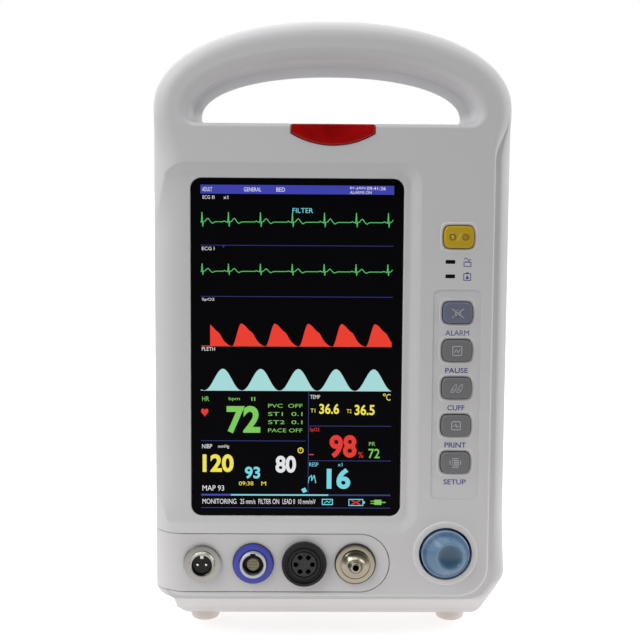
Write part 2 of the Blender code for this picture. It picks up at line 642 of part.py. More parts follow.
def make_encoder():
    """The rotary knob and the encoder behind it: body, shaft and push contact."""
    reach = -KNOB_REACH
    tip_at = (KNOB_AT[0] + 1.6 * MM, KNOB_AT[1] + 0.3 * MM)
    sections = [at_depth(arc(tip_at, 6.9 * MM, 0, 348.75, 31), reach)]
    for radius, depth in ((11.2 * MM, -2.3 * MM), (KNOB_RADIUS, -1.5 * MM), (KNOB_RADIUS, 2.5 * MM)):
        sections.append(at_depth(arc(KNOB_AT, radius, 0, 348.75, 31), depth))
    knob = loft("encoder_knob", sections, "knob")
    dimple = turned("dimple", [(0, reach - MM), (6.4 * MM, reach - MM), (5.0 * MM, reach + 0.9 * MM),
                               (0, reach + 1.7 * MM)], tip_at, "knob", 32)
    hollow = turned("hollow", [(5.5 * MM, -2 * MM), (9.9 * MM, -0.5 * MM), (9.9 * MM, 4 * MM),
                               (5.5 * MM, 4 * MM)], KNOB_AT, "knob", 32, ring=True)
    bore = rod("bore", 3.3 * MM, KNOB_AT, -3.3 * MM, 4 * MM, "knob", 20)
    set_origin(combine(knob, [dimple, hollow, bore]), (KNOB_AT[0], FACE_Y, KNOB_AT[1]))
    shaft = rod("encoder_shaft", 3.0 * MM, KNOB_AT, -3.0 * MM, 12.0 * MM, "steel", 16)
    flat = block("flat", (KNOB_AT[0] - 4 * MM, KNOB_AT[0] + 4 * MM), (-4 * MM, 3 * MM),
                 (KNOB_AT[1] + 2.2 * MM, KNOB_AT[1] + 4 * MM))
    set_origin(combine(shaft, [flat]), (KNOB_AT[0], FACE_Y, KNOB_AT[1]))
    plunger = rod("encoder_plunger", 3.0 * MM, KNOB_AT, 12.3 * MM, 13.6 * MM, "black", 12)
    set_origin(plunger, (KNOB_AT[0], FACE_Y + 13 * MM, KNOB_AT[1]))
    body = block("encoder_body", (KNOB_AT[0] - 7 * MM, KNOB_AT[0] + 7 * MM), (9.5 * MM, 17 * MM),
                 (KNOB_AT[1] - 7 * MM, KNOB_AT[1] + 7 * MM), "steel")
    combine(body, [rod("bush", 4.6 * MM, KNOB_AT, 4.6 * MM, 10 * MM, "steel")], "UNION")
    combine(body, [rod("bore", 3.4 * MM, KNOB_AT, 4 * MM, 15 * MM, "steel")])


# ---------------------------------------------------------------- patient connectors

def make_temp(at):
    """Two-pin threaded socket for the temperature probe."""
    turned("temp_socket", [(4.8 * MM, -4.2 * MM), (5.7 * MM, -4.2 * MM), (6.0 * MM, -3.8 * MM),
                           (6.0 * MM, -1.8 * MM), (8.6 * MM, -1.8 * MM), (8.9 * MM, -1.3 * MM),
                           (8.9 * MM, -GAP), (5.4 * MM, -GAP), (5.4 * MM, 12 * MM), (4.8 * MM, 12 * MM)],
           at, "nickel", 24, ring=True)
    insert = rod("temp_insert", 4.5 * MM, at, -2.8 * MM, 10 * MM, "black", 20)
    pins = [rod("pin", 0.6 * MM, (at[0] + x * MM, at[1]), -3.9 * MM, -2 * MM, "black", 8) for x in (-2, 2)]
    combine(insert, pins, "UNION")


def make_spo2(at):
    """Blue-ringed round socket for the finger sensor."""
    turned("spo2_ring", [(6.6 * MM, -1.9 * MM), (9.0 * MM, -1.9 * MM), (9.4 * MM, -1.4 * MM),
                         (9.4 * MM, -GAP), (6.6 * MM, -GAP)], at, "blue", 28, ring=True)
    turned("spo2_socket", [(5.0 * MM, -4.4 * MM), (6.0 * MM, -4.4 * MM), (6.25 * MM, -4.1 * MM),
                           (6.25 * MM, 12 * MM), (5.0 * MM, 12 * MM)], at, "steel", 24, ring=True)
    turned("spo2_insert", [(0, -2.6 * MM), (2.9 * MM, -2.6 * MM), (2.9 * MM, 2 * MM), (4.7 * MM, 2 * MM),
                           (4.7 * MM, 10 * MM), (0, 10 * MM)], at, "black", 20)


def make_ecg(at):
    """Black six-way round socket for the electrode lead."""
    turned("ecg_socket", [(6.2 * MM, -2.4 * MM), (7.6 * MM, -2.4 * MM), (7.9 * MM, -1.9 * MM),
                          (9.0 * MM, -1.9 * MM), (9.2 * MM, -3.2 * MM), (10.3 * MM, -3.2 * MM),
                          (10.6 * MM, -2.8 * MM), (10.6 * MM, -GAP), (8.5 * MM, -GAP), (8.5 * MM, 12 * MM),
                          (6.2 * MM, 12 * MM)], at, "black", 28, ring=True)
    insert = rod("ecg_insert", 5.9 * MM, at, -2.6 * MM, 10 * MM, "black", 24)
    holes = []
    for x, z in arc(at, 3.9 * MM, 0, 300, 5):
        holes.append(rod("hole", 0.9 * MM, (x, z), -4 * MM, 1.5 * MM, "black", 8))
    combine(insert, holes)


def make_cuff_fitting(at):
    """Nickel air fitting for the blood pressure cuff, with the hose barb behind it."""
    turned("cuff_fitting", [(1.4 * MM, -8 * MM), (2.0 * MM, -8 * MM), (2.4 * MM, -7.6 * MM),
                            (3.0 * MM, -5.6 * MM), (4.6 * MM, -3.9 * MM), (6.3 * MM, -3.0 * MM),
                            (6.6 * MM, -1.9 * MM), (9.0 * MM, -1.9 * MM), (9.3 * MM, -1.5 * MM),
                            (9.3 * MM, -GAP), (5.2 * MM, -GAP), (5.2 * MM, 10 * MM), (3.0 * MM, 10 * MM),
                            (2.4 * MM, 18 * MM), (1.4 * MM, 18 * MM)], at, "nickel", 28, ring=True)


def make_connectors():
    """The four patient connectors and the hexagon nuts that clamp them to their panel."""
    makers = {"temp": make_temp, "spo2": make_spo2, "ecg": make_ecg, "cuff": make_cuff_fitting}
    shanks = {"temp": 5.4 * MM, "spo2": 6.25 * MM, "ecg": 8.5 * MM, "cuff": 5.2 * MM}
    for name, maker in makers.items():
        at = (SOCKET_XS[name], PANEL_Z)
        maker(at)
        bore = shanks[name] + GAP
        nut = rod(f"{name}_nut", bore + 2.6 * MM, at, FRONT_WALL + GAP, FRONT_WALL + 3.3 * MM, "nickel", 6)
        combine(nut, [rod("bore", bore, at, FRONT_WALL - MM, FRONT_WALL + 5 * MM, "nickel", 16)])


# ---------------------------------------------------------------- inside and at the back

def make_pneumatics():
    """The air pump, its motor, the release valve and the hose from the cuff fitting."""
    head_at = (18 * MM, 124 * MM)
    rod("air_pump_motor", 12 * MM, head_at, 62 * MM, 92 * MM, "steel", 20)
    slab("air_pump_head", centred(head_at, (27 * MM, 27 * MM), 3 * MM, 2), 38 * MM, 61.7 * MM, "grey")
    valve_at = (-14 * MM, 124 * MM)
    valve = slab("air_valve", centred(valve_at, (17 * MM, 17 * MM), 2 * MM, 2), 40 * MM, 66 * MM, "steel")
    combine(valve, [rod("port", 2 * MM, valve_at, 36 * MM, 41 * MM, "steel", 10)], "UNION")
    line = bpy.data.curves.new("air_tube", "CURVE")
    line.dimensions = "3D"
    line.bevel_depth = 2.4 * MM
    line.bevel_resolution = 1
    line.use_fill_caps = True
    spline = line.splines.new("POLY")
    start = Vector((SOCKET_XS["cuff"], FACE_Y + 18.6 * MM, PANEL_Z))
    bend = start + Vector((0, 38 * MM, 0))
    rise = Vector((head_at[0], FACE_Y + 50 * MM, 70 * MM))
    end = Vector((head_at[0], FACE_Y + 50 * MM, head_at[1] - 13.9 * MM))
    steps = 14
    spline.points.add(steps)
    for i in range(steps + 1):
        t = i / steps
        point = ((1 - t) ** 3 * start + 3 * t * (1 - t) ** 2 * bend
                 + 3 * t * t * (1 - t) * rise + t ** 3 * end)
        spline.points[i].co = (*point, 1.0)
    tube = bpy.data.objects.new("air_tube", line)
    tube.data.materials.append(material("silicone"))
    bpy.context.collection.objects.link(tube)


def make_speaker():
    """A round speaker behind the slots of the left flank."""
    depth, z = SPEAKER_AT
    profile = [(0, 8 * MM), (10 * MM, 8 * MM), (10 * MM, 4 * MM), (18 * MM, 1.5 * MM),
               (20 * MM, 1.5 * MM), (20 * MM, 0), (0, 0)]
    across(turned("speaker", profile, (0, 0), "black", 24), (-HALF_WIDTH + WALL + GAP, FACE_Y + depth, z))


def make_battery():
    """The battery, its hinged door, the door's pin and the sliding latch."""
    half, top = DOOR
    slab("battery_pack", rounded((-38 * MM, 38 * MM), (26 * MM, 92 * MM), 8 * MM, 3),
         84 * MM, 103.5 * MM, "battery")
    hinge = (0, FACE_Y + HINGE_DEPTH, HINGE_Z)
    across(rod("battery_door_pin", 0.8 * MM, (0, 0), -35.5 * MM, 35.5 * MM, "steel", 10), hinge)
    door = block("battery_door", (-half + GAP, half - GAP), (105.8 * MM, 107.8 * MM),
                 (HINGE_Z + 5.2 * MM, top - GAP))  # the lower edge clears the bay's sill as it swings
    foot = block("foot", (-33.5 * MM, 33.5 * MM), (105.8 * MM, 107.6 * MM),
                 (HINGE_Z - 0.2 * MM, HINGE_Z + 6 * MM))
    knuckle = across(rod("knuckle", 2.1 * MM, (0, 0), -33.4 * MM, 33.4 * MM, sides=14), hinge)
    combine(door, [foot, knuckle], "UNION")
    bore = across(rod("bore", 1.1 * MM, (0, 0), -36 * MM, 36 * MM, sides=12), hinge)
    seat = block("seat", (-7.3 * MM, 7.3 * MM), (104 * MM, 109 * MM), (top - 15.3 * MM, top + MM))
    combine(door, [bore, seat])
    set_origin(door, hinge)
    latch = block("battery_latch", (-7 * MM, 7 * MM), (105.8 * MM, 107.8 * MM),
                  (top - 11.5 * MM, top - GAP))
    tongue = block("tongue", (-4.5 * MM, 4.5 * MM), (105.3 * MM, 106.4 * MM),
                   (top - 4 * MM, top + 2.4 * MM))
    combine(latch, [tongue], "UNION")
    set_origin(latch, (0, FACE_Y + 106.8 * MM, top - 6 * MM))


def make_ports():
    """The mains inlet, the network socket and the earth post in the back wall."""
    back = CASE_DEPTH - 0.2 * MM
    inlet = slab("mains_inlet", centred(INLET_AT, (27.4 * MM, 19.4 * MM), 1.2 * MM, 2),
                 86 * MM, back, "black")
    mouth = slab("mouth", centred(INLET_AT, (23.6 * MM, 15.8 * MM), 2 * MM, 2), 91 * MM, CASE_DEPTH + MM)
    combine(inlet, [mouth])
    pins = [block("pin", (INLET_AT[0] + x - MM, INLET_AT[0] + x + MM), (90 * MM, 99 * MM),
                  (INLET_AT[1] + z - 2 * MM, INLET_AT[1] + z + 2 * MM), "black")
            for x, z in ((-7 * MM, -1.5 * MM), (0, 2 * MM), (7 * MM, -1.5 * MM))]
    combine(inlet, pins, "UNION")
    socket = slab("network_socket", centred(NETWORK_AT, (16 * MM, 14 * MM), MM, 1), 92 * MM, back, "steel")
    combine(socket, [block("mouth", (NETWORK_AT[0] - 5.9 * MM, NETWORK_AT[0] + 5.9 * MM),
                           (95 * MM, CASE_DEPTH + MM),
                           (NETWORK_AT[1] - 4.2 * MM, NETWORK_AT[1] + 4.2 * MM))])
    turned("earth_post", [(0, 96 * MM), (6.5 * MM, 96 * MM), (6.5 * MM, 99 * MM), (3.8 * MM, 99 * MM),
                          (3.8 * MM, 105.5 * MM), (2.2 * MM, 106 * MM), (2.2 * MM, back), (0, back)],
           EARTH_AT, "brass", 16)


def make_feet():
    """Four rubber feet under the base."""
    x, depths = FOOT_AT
    for end, depth in zip(("front", "rear"), depths):
        for side, name in ((-x, f"foot_{end}_left"), (x, f"foot_{end}_right")):
            profile = [(0, 0), (5.2 * MM, 0), (6.8 * MM, 1.2 * MM), (FOOT_RADIUS, 3 * MM),
                       (FOOT_RADIUS, BASE_Z - GAP), (0, BASE_Z - GAP)]
            foot = turned(name, profile, (0, 0), "rubber", 24)
            foot.data.transform(Matrix.Translation((0, -FACE_Y, 0)))
            foot.data.transform(Matrix.Rotation(math.pi / 2, 4, "X"))
            foot.data.transform(Matrix.Translation((side, FACE_Y + depth, 0)))


def make_screws():
    """The four long screws that close the case from behind."""
    for name, at in screw_places():
        turned(name, [(0, 12 * MM), (1.4 * MM, 12 * MM), (1.4 * MM, 30.8 * MM), (2.9 * MM, 30.8 * MM),
                      (2.9 * MM, 33 * MM), (0, 33 * MM)], at, "steel", 12)


def main():
    for leftover in list(bpy.data.objects):
        bpy.data.objects.remove(leftover)
    make_front()
    make_rear()
    make_display()
    make_boards()
    make_keys()
    make_lights()
    make_encoder()
    make_connectors()
    make_pneumatics()
    make_speaker()
    make_battery()
    make_ports()
    make_feet()
    make_screws()


main()
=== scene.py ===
"""Looks of the upright patient monitor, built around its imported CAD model.

Frame: metres, +Z up, the display faces -Y. Depths are counted from the front plate towards the
back, and outlines are lists of (x, z) points as seen from the front, anticlockwise.
"""

import json
import math

import bmesh
import bpy
from mathutils import Matrix, Vector

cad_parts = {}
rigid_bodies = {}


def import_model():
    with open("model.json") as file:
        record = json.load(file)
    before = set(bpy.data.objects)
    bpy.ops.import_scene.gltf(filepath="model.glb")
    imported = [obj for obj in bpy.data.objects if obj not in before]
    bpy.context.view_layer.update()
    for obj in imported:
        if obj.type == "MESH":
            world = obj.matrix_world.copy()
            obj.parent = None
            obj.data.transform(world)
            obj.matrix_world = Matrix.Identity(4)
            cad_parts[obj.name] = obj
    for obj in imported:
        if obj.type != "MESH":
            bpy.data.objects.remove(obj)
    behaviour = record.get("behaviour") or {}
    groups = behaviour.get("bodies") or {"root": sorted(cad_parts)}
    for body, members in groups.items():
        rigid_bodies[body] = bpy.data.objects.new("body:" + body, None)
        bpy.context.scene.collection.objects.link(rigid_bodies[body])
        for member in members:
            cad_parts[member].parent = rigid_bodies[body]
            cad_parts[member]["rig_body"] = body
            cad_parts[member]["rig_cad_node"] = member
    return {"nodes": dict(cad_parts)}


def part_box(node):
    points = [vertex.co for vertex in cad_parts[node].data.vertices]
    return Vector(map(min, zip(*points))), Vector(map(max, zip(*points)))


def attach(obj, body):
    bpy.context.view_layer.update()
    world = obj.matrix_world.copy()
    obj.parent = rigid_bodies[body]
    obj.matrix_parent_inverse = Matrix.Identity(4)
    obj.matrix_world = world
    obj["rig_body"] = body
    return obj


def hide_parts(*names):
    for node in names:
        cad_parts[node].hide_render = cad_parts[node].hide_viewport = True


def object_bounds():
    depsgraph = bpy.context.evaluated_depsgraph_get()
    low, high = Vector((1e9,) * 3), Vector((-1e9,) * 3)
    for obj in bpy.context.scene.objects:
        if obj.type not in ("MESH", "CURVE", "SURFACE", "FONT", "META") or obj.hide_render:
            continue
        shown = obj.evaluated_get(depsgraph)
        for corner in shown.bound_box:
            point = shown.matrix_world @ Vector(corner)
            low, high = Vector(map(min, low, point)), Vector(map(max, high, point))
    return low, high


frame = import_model()
CAD_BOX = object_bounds()
MM = 0.001


def middle(node):
    """Centre of a CAD node as (x, z)."""
    low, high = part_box(node)
    return (low.x + high.x) / 2, (low.z + high.z) / 2


def extent(node):
    """Width and height of a CAD node."""
    low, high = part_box(node)
    return high.x - low.x, high.z - low.z


# Case
FACE_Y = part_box("connector_panel")[0].y
HALF_WIDTH = CAD_BOX[1].x
TOP_Z = CAD_BOX[1].z
CASE_DEPTH = CAD_BOX[1].y - FACE_Y
BASE_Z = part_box("rear_housing")[0].z
SPRING_Z = 252.0 * MM
ARCH_POWER = 2.17
LIP_Z = 21.2 * MM
BASE_CORNER = (10.0 * MM, 13.8 * MM)
PLATE_FLOOR_Z = 23.4 * MM
PLATE_INSET = 9.0 * MM
PLATE_CORNER = 14.0 * MM
PLATE_EDGE = 1.1 * MM  # rounding of the front plate's rim
STEP = 3.5 * MM
PARTING = 22.0 * MM
HANDLE_DEPTH = 50.0 * MM
WALL = 2.5 * MM
FRONT_WALL = 5.0 * MM
GAP = 0.3 * MM
SIDE_ROLL = 14.0 * MM
RIM_ROLL = (8.0 * MM, 6.5 * MM)  # across and deep
FLANK_ROLL = (5.3 * MM, 10.3 * MM)
DRAFT = 2.0 * MM  # how much narrower the front case is at its face than at the parting line
BACK_ROLL = 5.0 * MM

# Hand opening
HAND_Z = 245.5 * MM
HAND_CORNER = 4.0 * MM
HAND_HALF = (66.0 * MM, 63.3 * MM)
HAND_TOP = (274.6 * MM, 269.6 * MM)
HAND_POWER = 2.15
HAND_FLARE = (5.0 * MM, 5.5 * MM)  # across and deep

# Display
WINDOW_AT = middle("display_window")
WINDOW_SIZE = extent("display_window")
WINDOW_CORNER = 4.8 * MM
WINDOW_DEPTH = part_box("display_window")[0].y - FACE_Y
TRAY_DEPTH = 2.5 * MM
TRAY_FLOOR = (36.0 * MM, 59.3 * MM, 222.3 * MM)  # right edge, bottom edge, top edge
TRAY_SLOPE = 5.8 * MM
LIT_SIZE = (89.4 * MM, 152.3 * MM)
LIT_CORNER = (-60.9 * MM, 217.6 * MM)  # upper left corner of the lit area

# Controls
KEY_NAMES = ("silence_key", "freeze_key", "cuff_key", "record_key", "menu_key")
KEY_FLANGE = 1.2 * MM
KEY_MARGINS = (0.35 * MM, 0.8 * MM)  # how far the power button and the other caps are drawn in
KEY_PROUD = FACE_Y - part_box("menu_key")[0].y
KEYPAD = (46.7 * MM, 70.2 * MM, 69.8 * MM, 170.0 * MM)
KEYPAD_DEPTH = 0.4 * MM
KNOB_AT = middle("encoder_knob")
KNOB_RADIUS = extent("encoder_knob")[0] / 2
KNOB_REACH = FACE_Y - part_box("encoder_knob")[0].y
KNOB_TIP = (KNOB_AT[0] + 1.6 * MM, KNOB_AT[1] + 0.3 * MM)

# Connector panel
PANEL_Z = middle("ecg_insert")[1]
PANEL_END_X = 14.2 * MM
PANEL_RADIUS = 14.0 * MM
SOCKETS = {name: middle(f"{name}_nut") for name in ("temp", "spo2", "ecg", "cuff")}
SOCKET_HOLES = {"temp": 5.7 * MM, "spo2": 6.55 * MM, "ecg": 8.8 * MM, "cuff": 5.5 * MM}

# Alarm light
ALARM_HALF = extent("alarm_lens")[0] / 2
ALARM_SIDE_Z = 241.2 * MM
ALARM_FLOOR_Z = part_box("alarm_lens")[0].z

# Back
DOOR_HALF = 40.0 * MM
DOOR_TOP = 94.0 * MM
HINGE_Z = middle("battery_door_pin")[1]
HINGE_DEPTH = 105.4 * MM
SPEAKER_DEPTH, SPEAKER_Z = 72.0 * MM, 140.0 * MM
SCREWS = [f"housing_screw_{i}" for i in (1, 2, 3, 4)]


# ---------------------------------------------------------------- materials

def linear(level):
    """One sRGB level, 0 to 255, as the linear value that a shader takes."""
    share = level / 255.0
    return share / 12.92 if share <= 0.04045 else ((share + 0.055) / 1.055) ** 2.4


def rgb(*levels, gain=1.0):
    return (*(min(1.0, linear(level) * gain) for level in levels), 1.0)


def node(tree, kind, inputs=None, **settings):
    """A shader node with its settings made and its inputs set or linked."""
    made = tree.nodes.new("ShaderNode" + kind)
    for key, value in settings.items():
        setattr(made, key, value)
    for socket, value in (inputs or {}).items():
        if isinstance(value, bpy.types.NodeSocket):
            tree.links.new(value, made.inputs[socket])
        else:
            made.inputs[socket].default_value = value
    return made


def blank(name):
    """A new material with its tree, its main shader and the piece's own coordinates."""
    made = bpy.data.materials.new(name)
    made.use_nodes = True
    tree = made.node_tree
    place = node(tree, "TexCoord").outputs["Object"]
    return made, tree, tree.nodes["Principled BSDF"], place


def noise(tree, place, scale, detail=2.0, roughness=0.5):
    return node(tree, "TexNoise", {"Vector": place, "Scale": scale, "Detail": detail,
                                   "Roughness": roughness}).outputs["Fac"]


def spread(tree, value, low, high):
    """A value from 0 to 1 stretched to run from low to high."""
    return node(tree, "MapRange", {"Value": value, "To Min": low, "To Max": high}).outputs["Result"]


def blend(tree, share, first, second):
    """Two colours mixed by a share."""
    return node(tree, "Mix", {"Factor": share, "A": first, "B": second},
                data_type="RGBA").outputs["Result"]


def finish(name, colour, roughness=0.45, metallic=0.0, mottle=0.05, grain=(1800.0, 0.06),
           edge=0.0, scatter=0.03, **sockets):
    """A moulded or machined surface: soft mottling, uneven gloss and a fine grain.

    grain is the bump's scale per metre and strength, edge rounds the normals at sharp edges, and
    sockets are further values for the main shader.
    """
    made, tree, shader, place = blank(name)
    cloud = noise(tree, place, 28.0, 3.0)
    dark, light = rgb(*colour, gain=1 - mottle), rgb(*colour, gain=1 + mottle)
    tree.links.new(blend(tree, cloud, dark, light), shader.inputs["Base Color"])
    smear = noise(tree, place, 160.0, 2.0)
    tree.links.new(spread(tree, smear, roughness - scatter, roughness + scatter),
                   shader.inputs["Roughness"])
    shader.inputs["Metallic"].default_value = metallic
    bump = node(tree, "Bump", {"Height": noise(tree, place, grain[0], 1.0), "Strength": grain[1],
                               "Distance": 0.1 * MM})
    if edge:
        rounding = node(tree, "Bevel", {"Radius": edge}, samples=4)
        tree.links.new(rounding.outputs["Normal"], bump.inputs["Normal"])
    tree.links.new(bump.outputs["Normal"], shader.inputs["Normal"])
    for socket, value in sockets.items():
        shader.inputs[socket.replace("_", " ")].default_value = value
    return made


def brushed(name, colour, roughness=0.28, along="Z"):
    """Metal with fine scratches across one axis."""
    made, tree, shader, place = blank(name)
    squeeze = {"X": (40, 2500, 2500), "Y": (2500, 40, 2500), "Z": (2500, 2500, 40)}[along]
    drawn = node(tree, "Mapping", {"Vector": place, "Scale": squeeze}).outputs["Vector"]
    lines = noise(tree, drawn, 1.0, 2.0)
    tree.links.new(blend(tree, lines, rgb(*colour, gain=0.86), rgb(*colour)), shader.inputs["Base Color"])
    tree.links.new(spread(tree, lines, roughness * 0.7, roughness * 1.4), shader.inputs["Roughness"])
    shader.inputs["Metallic"].default_value = 1.0
    bump = node(tree, "Bump", {"Height": lines, "Strength": 0.12, "Distance": 0.05 * MM})
    tree.links.new(bump.outputs["Normal"], shader.inputs["Normal"])
    return made


def glowing(name, colour, strength):
    """Lit display ink: a colour broken up by the panel's fine rows."""
    made, tree, shader, place = blank(name)
    rows = node(tree, "TexWave", {"Vector": place, "Scale": 900.0}, bands_direction="Z").outputs["Fac"]
    lit = blend(tree, rows, rgb(*colour, gain=0.86), rgb(*colour))
    shader.inputs["Base Color"].default_value = (0.0, 0.0, 0.0, 1.0)
    shader.inputs["Roughness"].default_value = 0.2
    shader.inputs["Emission Strength"].default_value = strength
    tree.links.new(lit, shader.inputs["Emission Color"])
    return made


def printed(name, colour):
    """Screen-printed ink with slightly uneven cover."""
    return finish(name, colour, roughness=0.5, mottle=0.12, grain=(3000.0, 0.03))


def circuit(name, colour, copper):
    """Solder resist over copper tracks, with rows of plated holes."""
    made, tree, shader, place = blank(name)
    tracks = node(tree, "TexBrick", {"Vector": place, "Scale": 160.0, "Mortar Size": 0.06,
                                     "Color1": rgb(*colour), "Color2": rgb(*colour, gain=0.8),
                                     "Mortar": rgb(*colour, gain=1.7)})
    dots = node(tree, "TexVoronoi", {"Vector": place, "Scale": 330.0, "Randomness": 0.35})
    hole = node(tree, "MapRange", {"Value": dots.outputs["Distance"], "From Min": 0.16,
                                   "From Max": 0.2, "To Min": 1.0, "To Max": 0.0})
    shown = blend(tree, hole.outputs["Result"], tracks.outputs["Color"], rgb(*copper))
    tree.links.new(shown, shader.inputs["Base Color"])
    tree.links.new(spread(tree, noise(tree, place, 90.0), 0.3, 0.5), shader.inputs["Roughness"])
    return made


def ribbon_cable(name):
    """Flat cable: grey strands side by side."""
    made, tree, shader, place = blank(name)
    strands = node(tree, "TexWave", {"Vector": place, "Scale": 160.0}, bands_direction="X")
    tint = blend(tree, strands.outputs["Fac"], rgb(150, 152, 155), rgb(206, 208, 210))
    tree.links.new(tint, shader.inputs["Base Color"])
    bump = node(tree, "Bump", {"Height": strands.outputs["Fac"], "Strength": 0.5, "Distance": 0.2 * MM})
    tree.links.new(bump.outputs["Normal"], shader.inputs["Normal"])
    shader.inputs["Roughness"].default_value = 0.5
    return made


def radial(tree, place, centre, stops, reach):
    """Distance from a centre on the front and the colour that a list of (distance, colour) gives it."""
    flat = node(tree, "Mapping", {"Vector": place, "Location": (-centre[0], 0, -centre[1]),
                                  "Scale": (1.0, 0.0, 1.0)}).outputs["Vector"]
    distance = node(tree, "VectorMath", {0: flat}, operation="LENGTH").outputs["Value"]
    share = node(tree, "MapRange", {"Value": distance, "From Max": reach}).outputs["Result"]
    bands = node(tree, "ValToRGB", {"Fac": share})
    ramp = bands.color_ramp
    for at, (position, colour) in zip((0, 1), (stops[0], stops[-1])):
        ramp.elements[at].position, ramp.elements[at].color = position, rgb(*colour)
    for position, colour in stops[1:-1]:
        ramp.elements.new(position).color = rgb(*colour)
    return flat, distance, bands.outputs["Color"]


def knob_painted_light():
    """Translucent blue, with painted light and shade standing in for its translucency: painted shade in the
    dimple inside a painted pale ring, painted highlight streaks down the cone, a painted dark band and a
    painted highlight on the rim.
    """
    made, tree, shader, place = blank("knob_blue_painted_light")
    # Colour stops of painted shading: tip runs from the dimple out over the cone, rim from the cone out to
    # the edge.
    tip = [(0.0, (60, 92, 118)), (0.55, (66, 98, 126)), (0.74, (76, 112, 142)), (0.84, (120, 158, 184)),
           (0.92, (104, 144, 172)), (1.0, (86, 124, 156))]
    rim = [(0.5, (92, 132, 164)), (0.74, (92, 130, 164)), (0.82, (64, 98, 138)), (0.9, (68, 104, 148)),
           (0.93, (112, 148, 182)), (1.0, (118, 152, 186))]
    flat, distance, inner = radial(tree, place, KNOB_TIP, tip, 7.4 * MM)
    _, _, outer = radial(tree, place, KNOB_AT, rim, KNOB_RADIUS)
    beyond = node(tree, "MapRange", {"Value": distance, "From Min": 7.1 * MM,
                                     "From Max": 7.5 * MM}).outputs["Result"]
    shown = blend(tree, beyond, inner, outer)
    # Painted highlight streaks: a lighter blue mixed in by angle around the tip, outside the dimple.
    turned_to = node(tree, "VectorMath", {0: flat}, operation="NORMALIZE").outputs["Vector"]
    streaks = noise(tree, turned_to, 6.0, 4.0, 0.75)
    strength = node(tree, "Math", {0: spread(tree, streaks, -1.1, 1.0), 1: beyond}, operation="MULTIPLY",
                    use_clamp=True).outputs["Value"]
    tree.links.new(blend(tree, strength, shown, rgb(132, 164, 190)), shader.inputs["Base Color"])
    tree.links.new(spread(tree, noise(tree, place, 300.0), 0.16, 0.28), shader.inputs["Roughness"])
    shader.inputs["Coat Weight"].default_value = 0.3
    shader.inputs["Coat Roughness"].default_value = 0.08
    return made


def alarm_plastic():
    """Translucent red lens with diffusing ribs seen through its face."""
    made, tree, shader, place = blank("alarm_red")
    ribs = node(tree, "TexWave", {"Vector": place, "Scale": 190.0, "Distortion": 1.5},
                bands_direction="X").outputs["Fac"]
    cloud = noise(tree, place, 110.0, 2.0)
    deep = blend(tree, cloud, rgb(132, 2, 4), rgb(206, 8, 10))
    shown = blend(tree, spread(tree, ribs, 0.0, 0.06), deep, rgb(224, 40, 38))
    tree.links.new(shown, shader.inputs["Base Color"])
    tree.links.new(spread(tree, cloud, 0.12, 0.2), shader.inputs["Roughness"])
    shader.inputs["Subsurface Weight"].default_value = 0.2
    shader.inputs["Subsurface Radius"].default_value = (0.004, 0.001, 0.001)
    shader.inputs["Specular IOR Level"].default_value = 0.3
    return made


CASE = finish("case_plastic", (224, 223, 225), 0.42, mottle=0.012, grain=(1500.0, 0.05), edge=0.25 * MM)
DOOR_PLASTIC = finish("door_plastic", (222, 220, 218), 0.44, mottle=0.014, grain=(1400.0, 0.09))
LATCH = finish("latch_plastic", (200, 199, 197), 0.42, mottle=0.02, grain=(1400.0, 0.08))
WINDOW = finish("window_black", (10, 9, 12), 0.12, mottle=0.2, grain=(60.0, 0.004), scatter=0.03,
                Specular_IOR_Level=0.04)
YELLOW = finish("yellow_plastic", (208, 172, 26), 0.42, mottle=0.05, grain=(1500.0, 0.05))
SLATE = finish("slate_key", (112, 118, 140), 0.46, mottle=0.05, grain=(1500.0, 0.05))
GREY = finish("grey_key", (124, 124, 127), 0.46, mottle=0.05, grain=(1500.0, 0.05))
RUBBER = finish("foot_rubber", (240, 232, 226), 0.75, mottle=0.04, grain=(900.0, 0.2))
BLACK = finish("black_plastic", (24, 23, 26), 0.42, mottle=0.15, grain=(1500.0, 0.08))
CHARCOAL = finish("charcoal_plastic", (52, 50, 54), 0.5, mottle=0.1, grain=(1500.0, 0.08))
DEEP_BLACK = finish("socket_insert", (14, 13, 15), 0.5, mottle=0.2, grain=(1500.0, 0.06))
BLUE = finish("blue_ring", (58, 66, 190), 0.3, mottle=0.08, grain=(1200.0, 0.04), Coat_Weight=0.4)
SAND = finish("beige_insert", (150, 140, 112), 0.5, mottle=0.08, grain=(1500.0, 0.08))
SMOKE = finish("smoked_pipe", (8, 7, 9), 0.2, mottle=0.2, grain=(900.0, 0.02), Specular_IOR_Level=0.2)
SILICONE = finish("silicone", (150, 152, 156), 0.66, mottle=0.06, grain=(700.0, 0.1))
HOSE = finish("air_hose", (188, 190, 192), 0.5, mottle=0.05, grain=(500.0, 0.1))
CELL_WRAP = finish("cell_wrap", (44, 78, 150), 0.36, mottle=0.1, grain=(260.0, 0.25), Coat_Weight=0.3)
PUMP_GREY = finish("pump_grey", (92, 94, 97), 0.5, mottle=0.08, grain=(900.0, 0.15))
PAPER = finish("speaker_cone", (30, 30, 33), 0.8, mottle=0.2, grain=(500.0, 0.4))
NICKEL = finish("nickel_plate", (178, 170, 152), 0.2, 1.0, mottle=0.06, grain=(900.0, 0.03), scatter=0.06)
PIN_METAL = finish("contact_metal", (226, 222, 208), 0.18, 1.0, mottle=0.04, grain=(900.0, 0.02))
GOLD = finish("gold_contact", (214, 172, 84), 0.24, 1.0, mottle=0.06, grain=(900.0, 0.03))
BRASS = finish("turned_brass", (196, 160, 84), 0.3, 1.0, mottle=0.08, grain=(1200.0, 0.08))
BRIGHT_NICKEL = finish("bright_nickel", (176, 174, 170), 0.2, 1.0, mottle=0.05, grain=(900.0, 0.03),
                       scatter=0.08)
